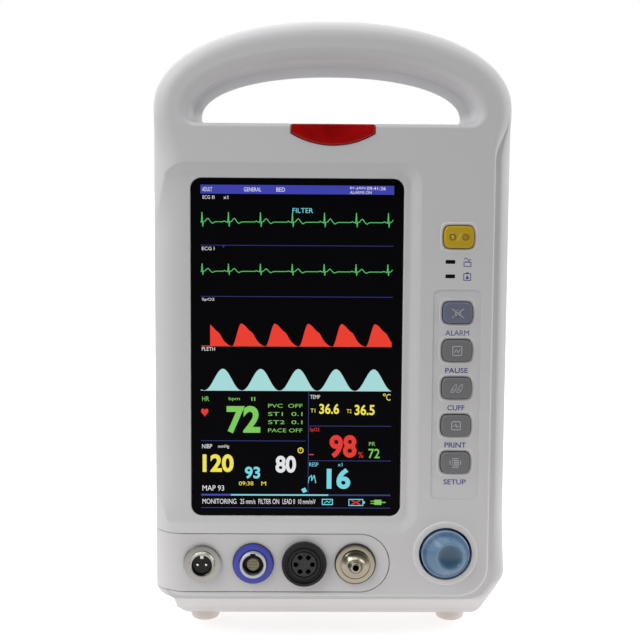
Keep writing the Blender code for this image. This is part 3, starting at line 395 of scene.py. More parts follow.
SATIN = finish("satin_metal", (206, 210, 214), 0.4, 0.6, mottle=0.05, grain=(1200.0, 0.05))
STEEL = brushed("brushed_steel", (186, 187, 188))
SCREW_STEEL = brushed("screw_steel", (168, 169, 172), 0.34, "X")
SHEET = brushed("sheet_metal", (150, 152, 155), 0.36, "X")
BOARD = circuit("green_board", (30, 86, 52), (196, 178, 120))
BLUE_BOARD = circuit("blue_board", (28, 52, 104), (200, 182, 124))
RIBBON = ribbon_cable("flat_cable")
# The knob's blue carries painted light and shade: a shaded dimple, highlight streaks and a lit rim.
KNOB = knob_painted_light()
RED = alarm_plastic()
LABEL_BLUE = printed("label_blue", (52, 62, 146))
ICON_WHITE = printed("icon_white", (206, 208, 210))
ICON_PALE = printed("icon_pale", (236, 218, 166))


# ---------------------------------------------------------------- outlines

def quarter(depth, run):
    """Falls from 1 at depth 0 to 0 at depth run, along a quarter circle."""
    rest = min(1.0, max(0.0, 1.0 - depth / run))
    return 1.0 - math.sqrt(1.0 - rest * rest)


def mix(first, second, share):
    return first + (second - first) * share


def eased(share):
    """A share from 0 to 1 with soft ends."""
    share = min(1.0, max(0.0, share))
    return share * share * (3.0 - 2.0 * share)


def inset(outline, distance):
    """An anticlockwise outline drawn in by a distance; a negative one grows it."""
    points = [Vector(point) for point in outline]
    drawn = []
    for i, here in enumerate(points):
        arriving = (here - points[i - 1]).normalized()
        leaving = (points[(i + 1) % len(points)] - here).normalized()
        left = Vector((-arriving.y, arriving.x))
        right = Vector((-leaving.y, leaving.x))
        drawn.append(here + (left + right) * (distance / (1.0 + left.dot(right))))
    return drawn


def arc(centre, radius, start, end, steps):
    """Points on an arc between two angles in degrees, both ends included."""
    angles = [math.radians(mix(start, end, i / steps)) for i in range(steps + 1)]
    return [(centre[0] + radius * math.cos(a), centre[1] + radius * math.sin(a)) for a in angles]


def fillet(points, radius, steps=3, closed=True):
    """Rounds a polygon's corners; radius is one value or one for each corner."""
    radii = list(radius) if hasattr(radius, "__len__") else [radius] * len(points)
    softened = []
    for i, here in enumerate(points):
        if radii[i] <= 0 or (not closed and i in (0, len(points) - 1)):
            softened.append(tuple(here))
            continue
        here, before, after = Vector(here), Vector(points[i - 1]), Vector(points[(i + 1) % len(points)])
        to_before, to_after = before - here, after - here
        turn = math.pi - to_before.angle(to_after, math.pi)
        reach = min(radii[i] * math.tan(turn / 2), 0.45 * to_before.length, 0.45 * to_after.length)
        reach = max(reach, 0.01 * MM)
        start, end = here + to_before.normalized() * reach, here + to_after.normalized() * reach
        for k in range(steps + 1):
            t = k / steps
            softened.append(tuple((1 - t) ** 2 * start + 2 * t * (1 - t) * here + t * t * end))
    return softened


def rounded(x, z, radius, steps=8):
    """A rectangle between pairs of x and z with round corners, anticlockwise."""
    corners = (((x[1], z[0]), (-1, 1), -90), ((x[1], z[1]), (-1, -1), 0),
               ((x[0], z[1]), (1, -1), 90), ((x[0], z[0]), (1, 1), 180))
    outline = []
    for (cx, cz), (dx, dz), start in corners:
        outline += arc((cx + dx * radius, cz + dz * radius), radius, start, start + 90, steps)
    return outline


def centred(centre, size, radius, steps=8):
    """A round-cornered rectangle about a centre."""
    (x, z), (w, h) = centre, size
    return rounded((x - w / 2, x + w / 2), (z - h / 2, z + h / 2), radius, steps)


def around(centre, *offsets):
    """Points at (x, z) offsets in millimetres from a centre."""
    return [(centre[0] + x * MM, centre[1] + z * MM) for x, z in offsets]


def arch(half, foot_z, rise, power, steps):
    """A superellipse's upper half, from its right foot over to its left one."""
    points = []
    for i in range(steps + 1):
        angle = math.pi * i / steps
        c, s = math.cos(angle), max(0.0, math.sin(angle))
        across = math.copysign(half * abs(c) ** (2 / power), c)
        points.append((across, foot_z + rise * s ** (2 / power)))
    return points


def barrel(centre, size, grow=0.0, steps=80):
    """A key's outline: nearly flat above and below, bulging at the sides, with soft corners."""
    half_w, half_h = size[0] / 2 + grow, size[1] / 2 + grow
    outline = []
    for i in range(steps):
        angle = math.tau * (i + 0.5) / steps
        c, s = math.cos(angle), math.sin(angle)
        outline.append((centre[0] + math.copysign(half_w * abs(c) ** (2 / 8.0), c),
                        centre[1] + math.copysign(half_h * abs(s) ** (2 / 2.7), s)))
    return outline


def chin(depth):
    """Height of the case's underside, which falls away from the front plate to the feet."""
    if depth <= STEP:
        return PLATE_FLOOR_Z + quarter(depth, PLATE_EDGE) * PLATE_EDGE - toe(depth)
    share = min(1.0, (depth - STEP) / (30.0 * MM - STEP))
    return mix(PLATE_FLOOR_Z - 2.4 * MM, BASE_Z, share)


def toe(depth):
    """The small fillet where the front plate's rim meets the band around it."""
    run = 0.7 * MM
    return run * quarter(STEP - depth, run)


def draft(depth):
    """How far the sides are drawn in so that the front case leaves its mould."""
    return DRAFT * max(0.0, 1.0 - depth / PARTING)


def flank(depth):
    """How far the right side is drawn in below the handle."""
    if depth <= STEP:
        return PLATE_INSET + quarter(depth, PLATE_EDGE) * PLATE_EDGE - toe(depth)
    return FLANK_ROLL[0] * quarter(depth - STEP, FLANK_ROLL[1]) + draft(depth)


def handle_share(z):
    """0 on the body, 1 on the handle, eased in between."""
    return eased((z - 229.0 * MM) / (21.0 * MM))


def base_chamfer(floor, corner_z):
    """The right lower corner, cut away and softly rounded, from the underside up to the flank."""
    points = [(HALF_WIDTH - 30 * MM, floor), (HALF_WIDTH - BASE_CORNER[0], floor),
              (HALF_WIDTH, corner_z), (HALF_WIDTH, corner_z + 20 * MM)]
    return fillet(points, 7.0 * MM, steps=7, closed=False)[1:-1]


def front_outline(depth, soft=1.5 * MM):
    """The front case's outline at a depth, anticlockwise from its lower left.

    soft rounds the corners where the lip under the connector panel ends.
    """
    left = SIDE_ROLL * quarter(depth, SIDE_ROLL) + draft(depth)
    crown = RIM_ROLL[0] * quarter(depth, RIM_ROLL[1])
    rim = crown + draft(depth)
    crown += 0.4 * draft(depth)
    right, floor = flank(depth), chin(depth)
    lip = max(floor, LIP_Z)
    foot = -HALF_WIDTH + left
    rise = 0.0 if depth <= STEP else 1.0 - quarter(depth - STEP, FLANK_ROLL[1])
    chamfer = base_chamfer(floor, floor + BASE_CORNER[1])
    corner = arc((HALF_WIDTH - right - PLATE_CORNER, floor + PLATE_CORNER), PLATE_CORNER, -90, 0,
                 len(chamfer) - 1)
    outline = [(foot + 14 * MM, floor), (0.0, floor)]
    outline += [(mix(a[0], b[0], rise), mix(a[1], b[1], rise)) for a, b in zip(corner, chamfer)]
    heights = [z * MM for z in (60, 100, 150, 190, 218)] + [(227 + 2 * i) * MM for i in range(13)]
    outline += [(HALF_WIDTH - mix(right, rim, handle_share(z)), z) for z in heights]
    outline += arch(HALF_WIDTH - rim, SPRING_Z, TOP_Z - SPRING_Z - crown, ARCH_POWER, 72)
    outline += [(-HALF_WIDTH + mix(left, rim, handle_share(z)), z) for z in reversed(heights)]
    outline += arc((foot + 5.0 * MM, lip + 5.0 * MM), 5.0 * MM, 180, 270, 8)
    return outline + fillet([(foot + 5.2 * MM, lip), (foot + 6.6 * MM, lip), (foot + 9.8 * MM, floor),
                             (foot + 14 * MM, floor)], soft, 3, closed=False)[1:-1]


def handle_outline():
    """The rear half of the handle; below the shoulders it is tucked inside the body."""
    side = [(80 * MM, 200 * MM), (80 * MM, 222 * MM), (HALF_WIDTH, 231 * MM), (HALF_WIDTH, 242 * MM)]
    other = [(-x, z) for x, z in reversed(side)]
    return side + arch(HALF_WIDTH, SPRING_Z, TOP_Z - SPRING_Z, ARCH_POWER, 72) + other


def body_outline(depth):
    """The rear case without its handle, with round shoulders and cut-away lower corners."""
    floor = chin(depth)
    share = (depth - HANDLE_DEPTH) / (CASE_DEPTH - HANDLE_DEPTH)
    top, radius = mix(244.0 * MM, 240.0 * MM, share), 12.0 * MM
    right = base_chamfer(floor, floor + BASE_CORNER[1])
    left = fillet([(-HALF_WIDTH, LIP_Z + 20 * MM), (-HALF_WIDTH, LIP_Z + 5.4 * MM),
                   (-HALF_WIDTH + 6 * MM, LIP_Z - MM),
                   (-HALF_WIDTH + 10 * MM, floor), (-HALF_WIDTH + 30 * MM, floor)], 7.0 * MM, 7,
                   closed=False)[1:-1]
    shoulder = arc((HALF_WIDTH - radius, top - radius), radius, 0, 90, 10)
    shoulder += arc((-HALF_WIDTH + radius, top - radius), radius, 90, 180, 10)
    return right + shoulder + left


def hand_outline(depth, grow=0.0, flare=True):
    """The hand opening at a depth; its walls flare to the front and, less, to the back."""
    share = (depth - 4.0 * MM) / (HANDLE_DEPTH - 4.0 * MM)
    front, back = quarter(depth, HAND_FLARE[1]), quarter(HANDLE_DEPTH - depth, 3.0 * MM)
    wide = HAND_FLARE[0] * front + 3.0 * MM * back if flare else 0.0
    low = 1.9 * MM * quarter(depth, 2.2 * MM) + 2.0 * MM * back if flare else 0.0
    half = mix(*HAND_HALF, share) + wide + grow
    floor = HAND_Z - low - grow
    corner = HAND_CORNER + 0.5 * wide + low + grow
    foot_z = floor + corner
    top = mix(*HAND_TOP, share) + wide + grow
    outline = arc((-half + corner, foot_z), corner, 180, 270, 10)[1:]
    outline += arc((half - corner, foot_z), corner, -90, 0, 10)[:-1]
    return outline + arch(half, foot_z, top - foot_z, HAND_POWER, 64)


def panel_outline(grow):
    """The connector panel: open past the left flank, a half circle at the right."""
    end = arc((PANEL_END_X, PANEL_Z), PANEL_RADIUS + grow, -90, 90, 40)
    left = -HALF_WIDTH - 5 * MM
    return [(left, end[0][1])] + end + [(left, end[-1][1])]


def alarm_outline(grow=0.0, top=HAND_Z, corner=0.8 * MM):
    """The alarm light: straight above and at the sides, bowed below."""
    half, floor, side = ALARM_HALF + grow, ALARM_FLOOR_Z - grow, ALARM_SIDE_Z - grow
    sag = side - floor
    radius = (half * half + sag * sag) / (2 * sag)
    spread_angle = math.degrees(math.asin(half / radius))
    bow = arc((0.0, floor + radius), radius, 270 - spread_angle, 270 + spread_angle, 28)
    sides = fillet([bow[-2], bow[-1], (half, top), (-half, top), bow[0], bow[1]], corner, 5, closed=False)
    return bow[1:-1] + sides[1:-1]


# ---------------------------------------------------------------- modelling

def add_object(name, bm):
    """The bmesh as an object in the scene, facing out."""
    bmesh.ops.recalc_face_normals(bm, faces=bm.faces)
    mesh = bpy.data.meshes.new(name)
    bm.to_mesh(mesh)
    bm.free()
    made = bpy.data.objects.new(name, mesh)
    bpy.context.scene.collection.objects.link(made)
    return made


def skin(rings, closed=False):
    """A bmesh of quads between rings of points, capped unless it closes on itself."""
    bm = bmesh.new()
    loops = [[bm.verts.new(point) for point in ring] for ring in rings]
    pairs = list(zip(loops, loops[1:]))
    if closed:
        pairs.append((loops[-1], loops[0]))
    for ring, following in pairs:
        for i in range(max(len(ring), len(following))):
            corners = []
            for vert in (ring[i % len(ring)], ring[(i + 1) % len(ring)],
                         following[(i + 1) % len(following)], following[i % len(following)]):
                if vert not in corners:
                    corners.append(vert)
            if len(corners) > 2:
                bm.faces.new(corners)
    if not closed:
        for ring in (loops[0], loops[-1]):
            if len(ring) > 2:
                bm.faces.new(ring)
    return bm


def at_depth(outline, depth):
    """An (x, z) outline set upright at a depth behind the front plate."""
    return [Vector((x, FACE_Y + depth, z)) for x, z in outline]


def loft(name, sections):
    return add_object(name, skin(sections))


def slab(name, outline, front, back, front_edge=0.0, back_edge=0.0, steps=3):
    """An outline extruded between two depths, its two rims rounded."""
    sections = []
    for i in range(steps if front_edge else 0):
        run = front_edge * (1 - math.cos(math.pi / 2 * i / steps))
        sections.append(at_depth(inset(outline, front_edge * quarter(run, front_edge)), front + run))
    sections.append(at_depth(outline, front + front_edge))
    sections.append(at_depth(outline, back - back_edge))
    for i in range(1, steps + 1 if back_edge else 1):
        run = back_edge * math.sin(math.pi / 2 * i / steps)
        sections.append(at_depth(inset(outline, back_edge * quarter(back_edge - run, back_edge)),
                                 back - back_edge + run))
    return loft(name, sections)


def flared(name, outline, edge, back, front=-3 * MM, at=0.0, steps=4):
    """A cutter whose mouth, at a depth, widens by a rounded edge."""
    sections = [at_depth(inset(outline, -edge), front)]
    for i in range(steps):
        run = edge * (1 - math.cos(math.pi / 2 * (i + 0.02) / steps))
        sections.append(at_depth(inset(outline, -edge * quarter(run, edge)), at + run))
    return loft(name, sections + [at_depth(outline, at + edge), at_depth(outline, back)])


def block(name, x, depth, z, edge=0.0):
    """A box between pairs of x, depth and z with softened edges."""
    outline = [(x[0], z[0]), (x[1], z[0]), (x[1], z[1]), (x[0], z[1])]
    if not edge:
        return slab(name, outline, *depth)
    return slab(name, fillet(outline, edge, 2), *depth, edge, edge, 2)


def scaled(profile):
    """A profile given in millimetres."""
    return [(r * MM, d * MM) for r, d in profile]


def turned(name, profile, at, sides=72, ring=False, soft=0.12 * MM):
    """A solid turned about the front-to-back axis through at; the profile lists (radius, depth)."""
    if soft:
        profile = fillet(profile, [0 if r < 1e-6 else soft for r, _ in profile], 2, closed=ring)
    rings = []
    for radius, depth in profile:
        angles = [math.tau * i / sides for i in range(sides if radius > 1e-6 else 1)]
        rings.append([(at[0] + radius * math.cos(a), FACE_Y + depth, at[1] + radius * math.sin(a))
                      for a in angles])
    return add_object(name, skin(rings, ring))


def rod(name, radius, at, front, back, sides=48, soft=0.1 * MM):
    return turned(name, [(0, front), (radius, front), (radius, back), (0, back)], at, sides, soft=soft)


def across(made, at):
    """Turns a solid made about the front-to-back axis at the origin so that it lies along X."""
    made.data.transform(Matrix.Translation((0, -FACE_Y, 0)))
    made.data.transform(Matrix.Rotation(-math.pi / 2, 4, "Z"))
    made.data.transform(Matrix.Translation(at))
    return made


def merge(name, objects):
    """Several objects as one."""
    bm = bmesh.new()
    for made in objects:
        bm.from_mesh(made.data)
        bpy.data.objects.remove(made)
    mesh = bpy.data.meshes.new(name)
    bm.to_mesh(mesh)
    bm.free()
    joined = bpy.data.objects.new(name, mesh)
    bpy.context.scene.collection.objects.link(joined)
    return joined


def applied(made):
    """Replaces an object's mesh by what its modifiers make of it."""
    bpy.context.view_layer.update()
    mesh = bpy.data.meshes.new_from_object(made.evaluated_get(bpy.context.evaluated_depsgraph_get()))
    made.modifiers.clear()
    made.data = mesh
    return made


def combine(target, tools, operation="DIFFERENCE"):
    """Applies one Boolean with all the tools, which don't touch each other, and removes them."""
    tool = tools[0] if len(tools) == 1 else merge("tools", tools)
    step = target.modifiers.new(operation, "BOOLEAN")
    step.operation, step.solver, step.object = operation, "EXACT", tool
    applied(target)
    bpy.data.objects.remove(tool)
    return target


def twin(made, name):
    copy = made.copy()
    copy.data = made.data.copy()
    copy.name = name
    bpy.context.scene.collection.objects.link(copy)
    return copy


def done(made, material, body="case", replaces=(), angle=35):
    """Shades a finished piece, gives it its material and hangs it on its CAD body."""
    made.data.materials.clear()
    made.data.materials.append(material)
    made.data.shade_smooth()
    made.data.set_sharp_from_angle(angle=math.radians(angle))
    weighted = made.modifiers.new("normals", "WEIGHTED_NORMAL")
    weighted.keep_sharp = True
    applied(made)
    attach(made, body)
    if replaces:
        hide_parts(*replaces)
    return made


# ---------------------------------------------------------------- case

def hand_plug(name, front, back, grow=0.0, flare=True):
    """The solid that fills the hand opening between two depths."""
    runs = [0.01, 0.12, 0.4, 0.9, 1.5, 2.2, 3.2, 4.4, 5.5, 9.0, 46.9, 47.3, 48.0, 48.9, 49.6, 49.99]
    depths = [front] + [d * MM for d in runs if d * MM < back] + [back]
    return loft(name, [at_depth(hand_outline(d, grow, flare), d) for d in depths])


def tray_plug():
    """The shallow tray around the display, a height field that also rolls off to the left."""
    right, bottom, top = TRAY_FLOOR
    corner = 4.5 * MM
    left_edge, roll = -67.5 * MM, 17.2 * MM

    def floor_depth(x):
        if x >= left_edge:
            return TRAY_DEPTH
        share = min(1.0, (left_edge - x) / roll)
        return TRAY_DEPTH + 15.5 * MM * (1 - math.sqrt(1 - min(0.9999, share * share)))

    def depth_at(x, z):
        dx = max(0.0, x - (right - corner))
        dz = max(0.0, (bottom + corner) - z, z - (top - corner))
        away = math.hypot(dx, dz) - corner if dx and dz else max(dx, dz) - corner
        slope = max(0.0, away) / TRAY_SLOPE
        ramp = mix(slope, eased(slope), 0.45) + 0.04 * slope
        roll = floor_depth(x) - TRAY_DEPTH
        fade = eased((z - 196.0 * MM) / (40.0 * MM)) + eased((76.0 * MM - z) / (24.0 * MM))
        return TRAY_DEPTH * (1 - ramp) + roll * (1 - fade)

    xs = [-HALF_WIDTH - 1 * MM + 0.9 * MM * i for i in range(24)]
    xs += [-40 * MM, 0.0, right - corner - 4 * MM]
    xs += [right - corner + 0.6 * MM * i for i in range(21)]
    zs = [bottom - 7.5 * MM + 0.6 * MM * i for i in range(21)]
    zs += [bottom + (6 + 3 * i) * MM for i in range(5)] + [mix(bottom, top, 0.5)]
    zs += [top - (28 - 3 * i) * MM for i in range(8)]
    zs += [top - 4.5 * MM + 0.6 * MM * i for i in range(21)]
    zs += [top + (9.5 + 2.5 * i) * MM for i in range(3)]
    bm = bmesh.new()
    under = [[bm.verts.new((x, FACE_Y + depth_at(x, z), z)) for z in zs] for x in xs]
    over = [[bm.verts.new((x, FACE_Y - 4 * MM, z)) for z in zs] for x in xs]
    for grid in (under, over):
        for i in range(len(xs) - 1):
            for j in range(len(zs) - 1):
                bm.faces.new((grid[i][j], grid[i + 1][j], grid[i + 1][j + 1], grid[i][j + 1]))
    for i in range(len(xs) - 1):
        for j in (0, len(zs) - 1):
            bm.faces.new((under[i][j], under[i + 1][j], over[i + 1][j], over[i][j]))
    for j in range(len(zs) - 1):
        for i in (0, len(xs) - 1):
            bm.faces.new((under[i][j], under[i][j + 1], over[i][j + 1], over[i][j]))
    return add_object("tray", bm)


def front_shell():
    """The front case before its openings: the outer form less the hollow behind the walls."""
    back = PARTING - GAP / 2
    runs = (0.0, 0.03, 0.12, 0.27, 0.5, 0.8, 1.1, 1.8, 2.5, 2.85, 3.1, 3.3, 3.42, 3.5, 3.52, 3.62, 3.85,
            4.3, 5.0, 6.0, 7.5, 9.0, 10.8, 12.6, 14.5, 18.0)
    shell = loft("front_housing_skin", [at_depth(front_outline(d * MM), d * MM) for d in runs]
                 + [at_depth(front_outline(back), back)])
    hollow_depths = [(5.4, 3.4), (6.8, 4.6), (9.5, 7.0), (14.5, 12.0), (23.0, 22.0)]
    hollow = loft("hollow", [at_depth(inset(front_outline(source * MM, 0.0), WALL), depth * MM)
                             for depth, source in hollow_depths])
    combine(hollow, [hand_plug("hand_wall", -MM, PARTING + 3 * MM, WALL, False)])
    combine(hollow, [block("thick_flank", (-HALF_WIDTH, -71.5 * MM), (0.0, 20 * MM), (54 * MM, 238 * MM)),
                     block("thick_lip", (-HALF_WIDTH, -68 * MM), (0.0, 25 * MM), (5 * MM, 27 * MM))])
    combine(shell, [hollow])
    return combine(shell, [hand_plug("hand", -MM, PARTING + 2 * MM)])


def key_places():
    """Every key's name, centre and size."""
    places = []
    for name in ("power_button", *KEY_NAMES):
        grown = 2 * (KEY_FLANGE + KEY_MARGINS[name in KEY_NAMES])
        places.append((name, middle(name), tuple(s - grown for s in extent(name))))
    return places


def front_case():
    """The front case, and the connector panel that is let into it."""
    housing = front_shell()
    combine(housing, [tray_plug()])
    edge = 0.35 * MM
    keep = loft("keep", [at_depth(panel_outline(-GAP / 2 - edge * quarter(d, edge)), d)
                         for d in (-5 * MM, 0.01 * MM, 0.06 * MM, 0.17 * MM, edge, PARTING)])
    panel = combine(twin(housing, "connector_panel_skin"), [keep], "INTERSECT")
    combine(housing, [flared("panel_seat", panel_outline(GAP / 2), edge, PARTING + 2 * MM, -6 * MM)])
    behind = FRONT_WALL + 3 * MM
    cuts = [flared("window", centred(WINDOW_AT, [s + 2 * GAP for s in WINDOW_SIZE], WINDOW_CORNER + GAP),
                   0.45 * MM, behind, at=TRAY_DEPTH),
            flared("alarm", alarm_outline(GAP, HAND_Z + 3 * MM, 0.0), 0.15 * MM, 8.6 * MM),
            flared("power", barrel(*key_places()[0][1:], GAP), 0.5 * MM, behind),
            slab("collar", arc(KNOB_AT, KNOB_RADIUS + 0.6 * MM, 0, 356.25, 95), -3 * MM, behind)]
    for name in ("mains_light_pipe", "battery_light_pipe"):
        cuts.append(flared(name, centred(middle(name), [s + 0.5 * GAP for s in extent(name)], 0.3 * MM, 3),
                           0.15 * MM, behind))
    combine(housing, cuts)
    pad = rounded(KEYPAD[:2], KEYPAD[2:], 3.5 * MM)
    combine(housing, [flared("pad", inset(pad, 0.6 * MM), 0.6 * MM, KEYPAD_DEPTH, at=-0.2 * MM)])
    keys = [flared(name, barrel(at, size, GAP), 0.45 * MM, behind, at=KEYPAD_DEPTH)
            for name, at, size in key_places()[1:]]
    combine(housing, keys)
    lip = [(0.6, -1.15), (1.0, -1.25), (1.5, -1.2), (2.6, -1.02), (3.1, -0.72), (3.35, -0.3), (3.6, 0.05),
           (3.6, 1.5), (0.6, 1.5)]
    collar = turned("collar", [(KNOB_RADIUS + r * MM, d * MM) for r, d in lip], KNOB_AT, 120, True, 0.1 * MM)
    combine(housing, [collar], "UNION")
    bosses = [rod("boss", 4.2 * MM, middle(s), 6 * MM, PARTING - GAP / 2, 24, 0) for s in SCREWS]
    combine(housing, bosses, "UNION")
    combine(housing, [rod("bore", 1.7 * MM, middle(s), 10 * MM, PARTING + MM, 16, 0) for s in SCREWS])
    combine(panel, [flared(name, arc(SOCKETS[name], radius, 0, 352.5, 47), 0.15 * MM, 12 * MM)
                    for name, radius in SOCKET_HOLES.items()])
    beads = []
    for name, at, size in key_places():
        level, height = (KEYPAD_DEPTH, 0.55) if name in KEY_NAMES else (0.0, 1.0)
        rings = [at_depth(barrel(at, size, GAP + 0.3 * MM + grow * MM), level - lift * height * MM)
                 for grow, lift in ((0.2, 0.02), (0.3, 0.2), (0.55, 0.3), (0.85, 0.24), (1.1, 0.1),
                                    (1.25, -0.05),
                                    (0.7, -0.3))]
        beads.append(add_object("bead", skin(rings, True)))
    done(housing, CASE, replaces=["front_housing"], angle=32)
    done(panel, CASE, replaces=["connector_panel"], angle=32)
    # The beads are real raised rings, but their plastic is a little lighter than the case's: painted
    # highlight for the light their slopes catch.
    done(merge("key_surrounds", beads), finish("surround_painted_highlight", (232, 230, 230), 0.4, mottle=0.015))


def rear_shell():
    """The rear case before its openings: body and handle joined, hollow, with the hand opening."""
    front, lead = PARTING + GAP / 2, 4.0 * MM
    body_depths = [front, 26 * MM, 30 * MM, 60 * MM, CASE_DEPTH - BACK_ROLL]
    body = [at_depth(body_outline(d), d) for d in body_depths]
    for i in range(1, 8):
        back = BACK_ROLL * (1 - math.sin(math.pi / 2 * i / 7))
        body.append(at_depth(inset(body_outline(CASE_DEPTH), BACK_ROLL * quarter(back, BACK_ROLL)),
                             CASE_DEPTH - back))
    shell = loft("rear_housing_skin", body)
    handle = [at_depth(handle_outline(), d) for d in (front, 34 * MM, HANDLE_DEPTH - lead)]
    for i in range(1, 7):
        back = lead * (1 - math.sin(math.pi / 2 * i / 6))
        handle.append(at_depth(inset(handle_outline(), lead * quarter(back, lead)), HANDLE_DEPTH - back))
    combine(shell, [loft("handle", handle)], "UNION")
    hollow = loft("hollow", [at_depth(inset(body_outline(max(d, front)), WALL), d)
                             for d in (PARTING - MM, 30 * MM, CASE_DEPTH - WALL)])
    arch_hollow = loft("arch_hollow", [at_depth(inset(handle_outline(), WALL), d)
                                       for d in (PARTING - MM, HANDLE_DEPTH - WALL)])
    combine(hollow, [arch_hollow], "UNION")
    combine(hollow, [hand_plug("hand_wall", -MM, HANDLE_DEPTH + 3 * MM, WALL, False)])
    combine(shell, [hollow])
    return combine(shell, [hand_plug("hand", -MM, HANDLE_DEPTH + 2 * MM)])


def side_slots():
    """Cooling slots low on the right flank and the speaker's slots on the left one."""
    slots = []
    runs = [(1, 76 * MM, 18 * MM, (70.0 + 6.0 * i) * MM + 1.2 * MM, 1.2 * MM) for i in range(7)]
    for i in range(-3, 4):
        reach = math.sqrt(17.0 ** 2 - (4.6 * i) ** 2) * MM
        runs.append((-1, SPEAKER_DEPTH, reach, SPEAKER_Z + 4.6 * i * MM, 0.9 * MM))
    for side, depth, reach, z, half in runs:
        outline = rounded((-reach, reach), (-half, half), half * 0.98, 5)
        sections = [(4.0 * MM, 0.35 * MM), (0.0 * MM, 0.35 * MM), (-0.12 * MM, 0.12 * MM),
                    (-0.35 * MM, 0.0), (-6 * MM, 0.0)]
        rings = []
        for out, grow in sections:
            rings.append([Vector((side * (HALF_WIDTH + out), FACE_Y + depth + u, z + v))
                          for u, v in inset(outline, -grow)])
        slots.append(loft("slot", rings))
    return slots


def rear_case():
    """The rear case with its screw wells, battery opening, connectors' openings and slots."""
    housing = rear_shell()
    combine(housing, [rod("well", 5.2 * MM, middle(s), PARTING + GAP / 2, CASE_DEPTH - MM, 24, 0)
                      for s in SCREWS], "UNION")
    beyond = CASE_DEPTH + 2 * MM
    cuts = []
    for screw in SCREWS:
        profile = [(0, PARTING - MM), (1.7 * MM, PARTING - MM), (1.7 * MM, 30.5 * MM), (3.6 * MM, 30.5 * MM),
                   (3.6 * MM, CASE_DEPTH - 0.5 * MM), (3.75 * MM, CASE_DEPTH - 0.15 * MM),
                   (4.1 * MM, CASE_DEPTH), (4.1 * MM, beyond), (0, beyond)]
        cuts.append(turned("bore", profile, middle(screw), 48, soft=0))
    for node_name, margin in (("mains_inlet", 0.3 * MM), ("network_socket", 0.3 * MM)):
        outline = centred(middle(node_name), [s + 2 * margin for s in extent(node_name)], 1.5 * MM)
        cuts.append(loft("port", [at_depth(outline, 100 * MM), at_depth(outline, CASE_DEPTH - 0.4 * MM),
                                  at_depth(inset(outline, -0.15 * MM), CASE_DEPTH - 0.12 * MM),
                                  at_depth(inset(outline, -0.45 * MM), CASE_DEPTH),
                                  at_depth(inset(outline, -0.45 * MM), beyond)]))
    cuts.append(rod("earth", 4.3 * MM, middle("earth_post"), 100 * MM, beyond, 48, 0))
    combine(housing, cuts + side_slots())
    bay = fillet([(-DOOR_HALF, HINGE_Z + 4 * MM), (DOOR_HALF, HINGE_Z + 4 * MM), (DOOR_HALF, DOOR_TOP),
                  (-DOOR_HALF, DOOR_TOP)], [0.8 * MM, 0.8 * MM, 5 * MM, 5 * MM], 6)
    combine(housing, [loft("bay", [at_depth(bay, CASE_DEPTH - 4 * MM), at_depth(bay, CASE_DEPTH - 0.4 * MM),
                                   at_depth(inset(bay, -0.12 * MM), CASE_DEPTH - 0.12 * MM),
                                   at_depth(inset(bay, -0.4 * MM), CASE_DEPTH),
                                   at_depth(inset(bay, -0.4 * MM), beyond)])])
    combine(housing, [block("knuckle_seat", (-34 * MM, 34 * MM), (102 * MM, beyond),
                            (HINGE_Z - 3.5 * MM, HINGE_Z + 5 * MM))])
    combine(housing, [block("latch_seat", (-5 * MM, 5 * MM), (105 * MM, 106.8 * MM),
                            (DOOR_TOP - MM, DOOR_TOP + 3.5 * MM))])
    combine(housing, [across(rod("pin_bore", 1.1 * MM, (0, 0), -36 * MM, 36 * MM, 24, 0),
                             (0, FACE_Y + HINGE_DEPTH, HINGE_Z))])
    done(housing, CASE, replaces=["rear_housing"], angle=32)


# ---------------------------------------------------------------- back and underside

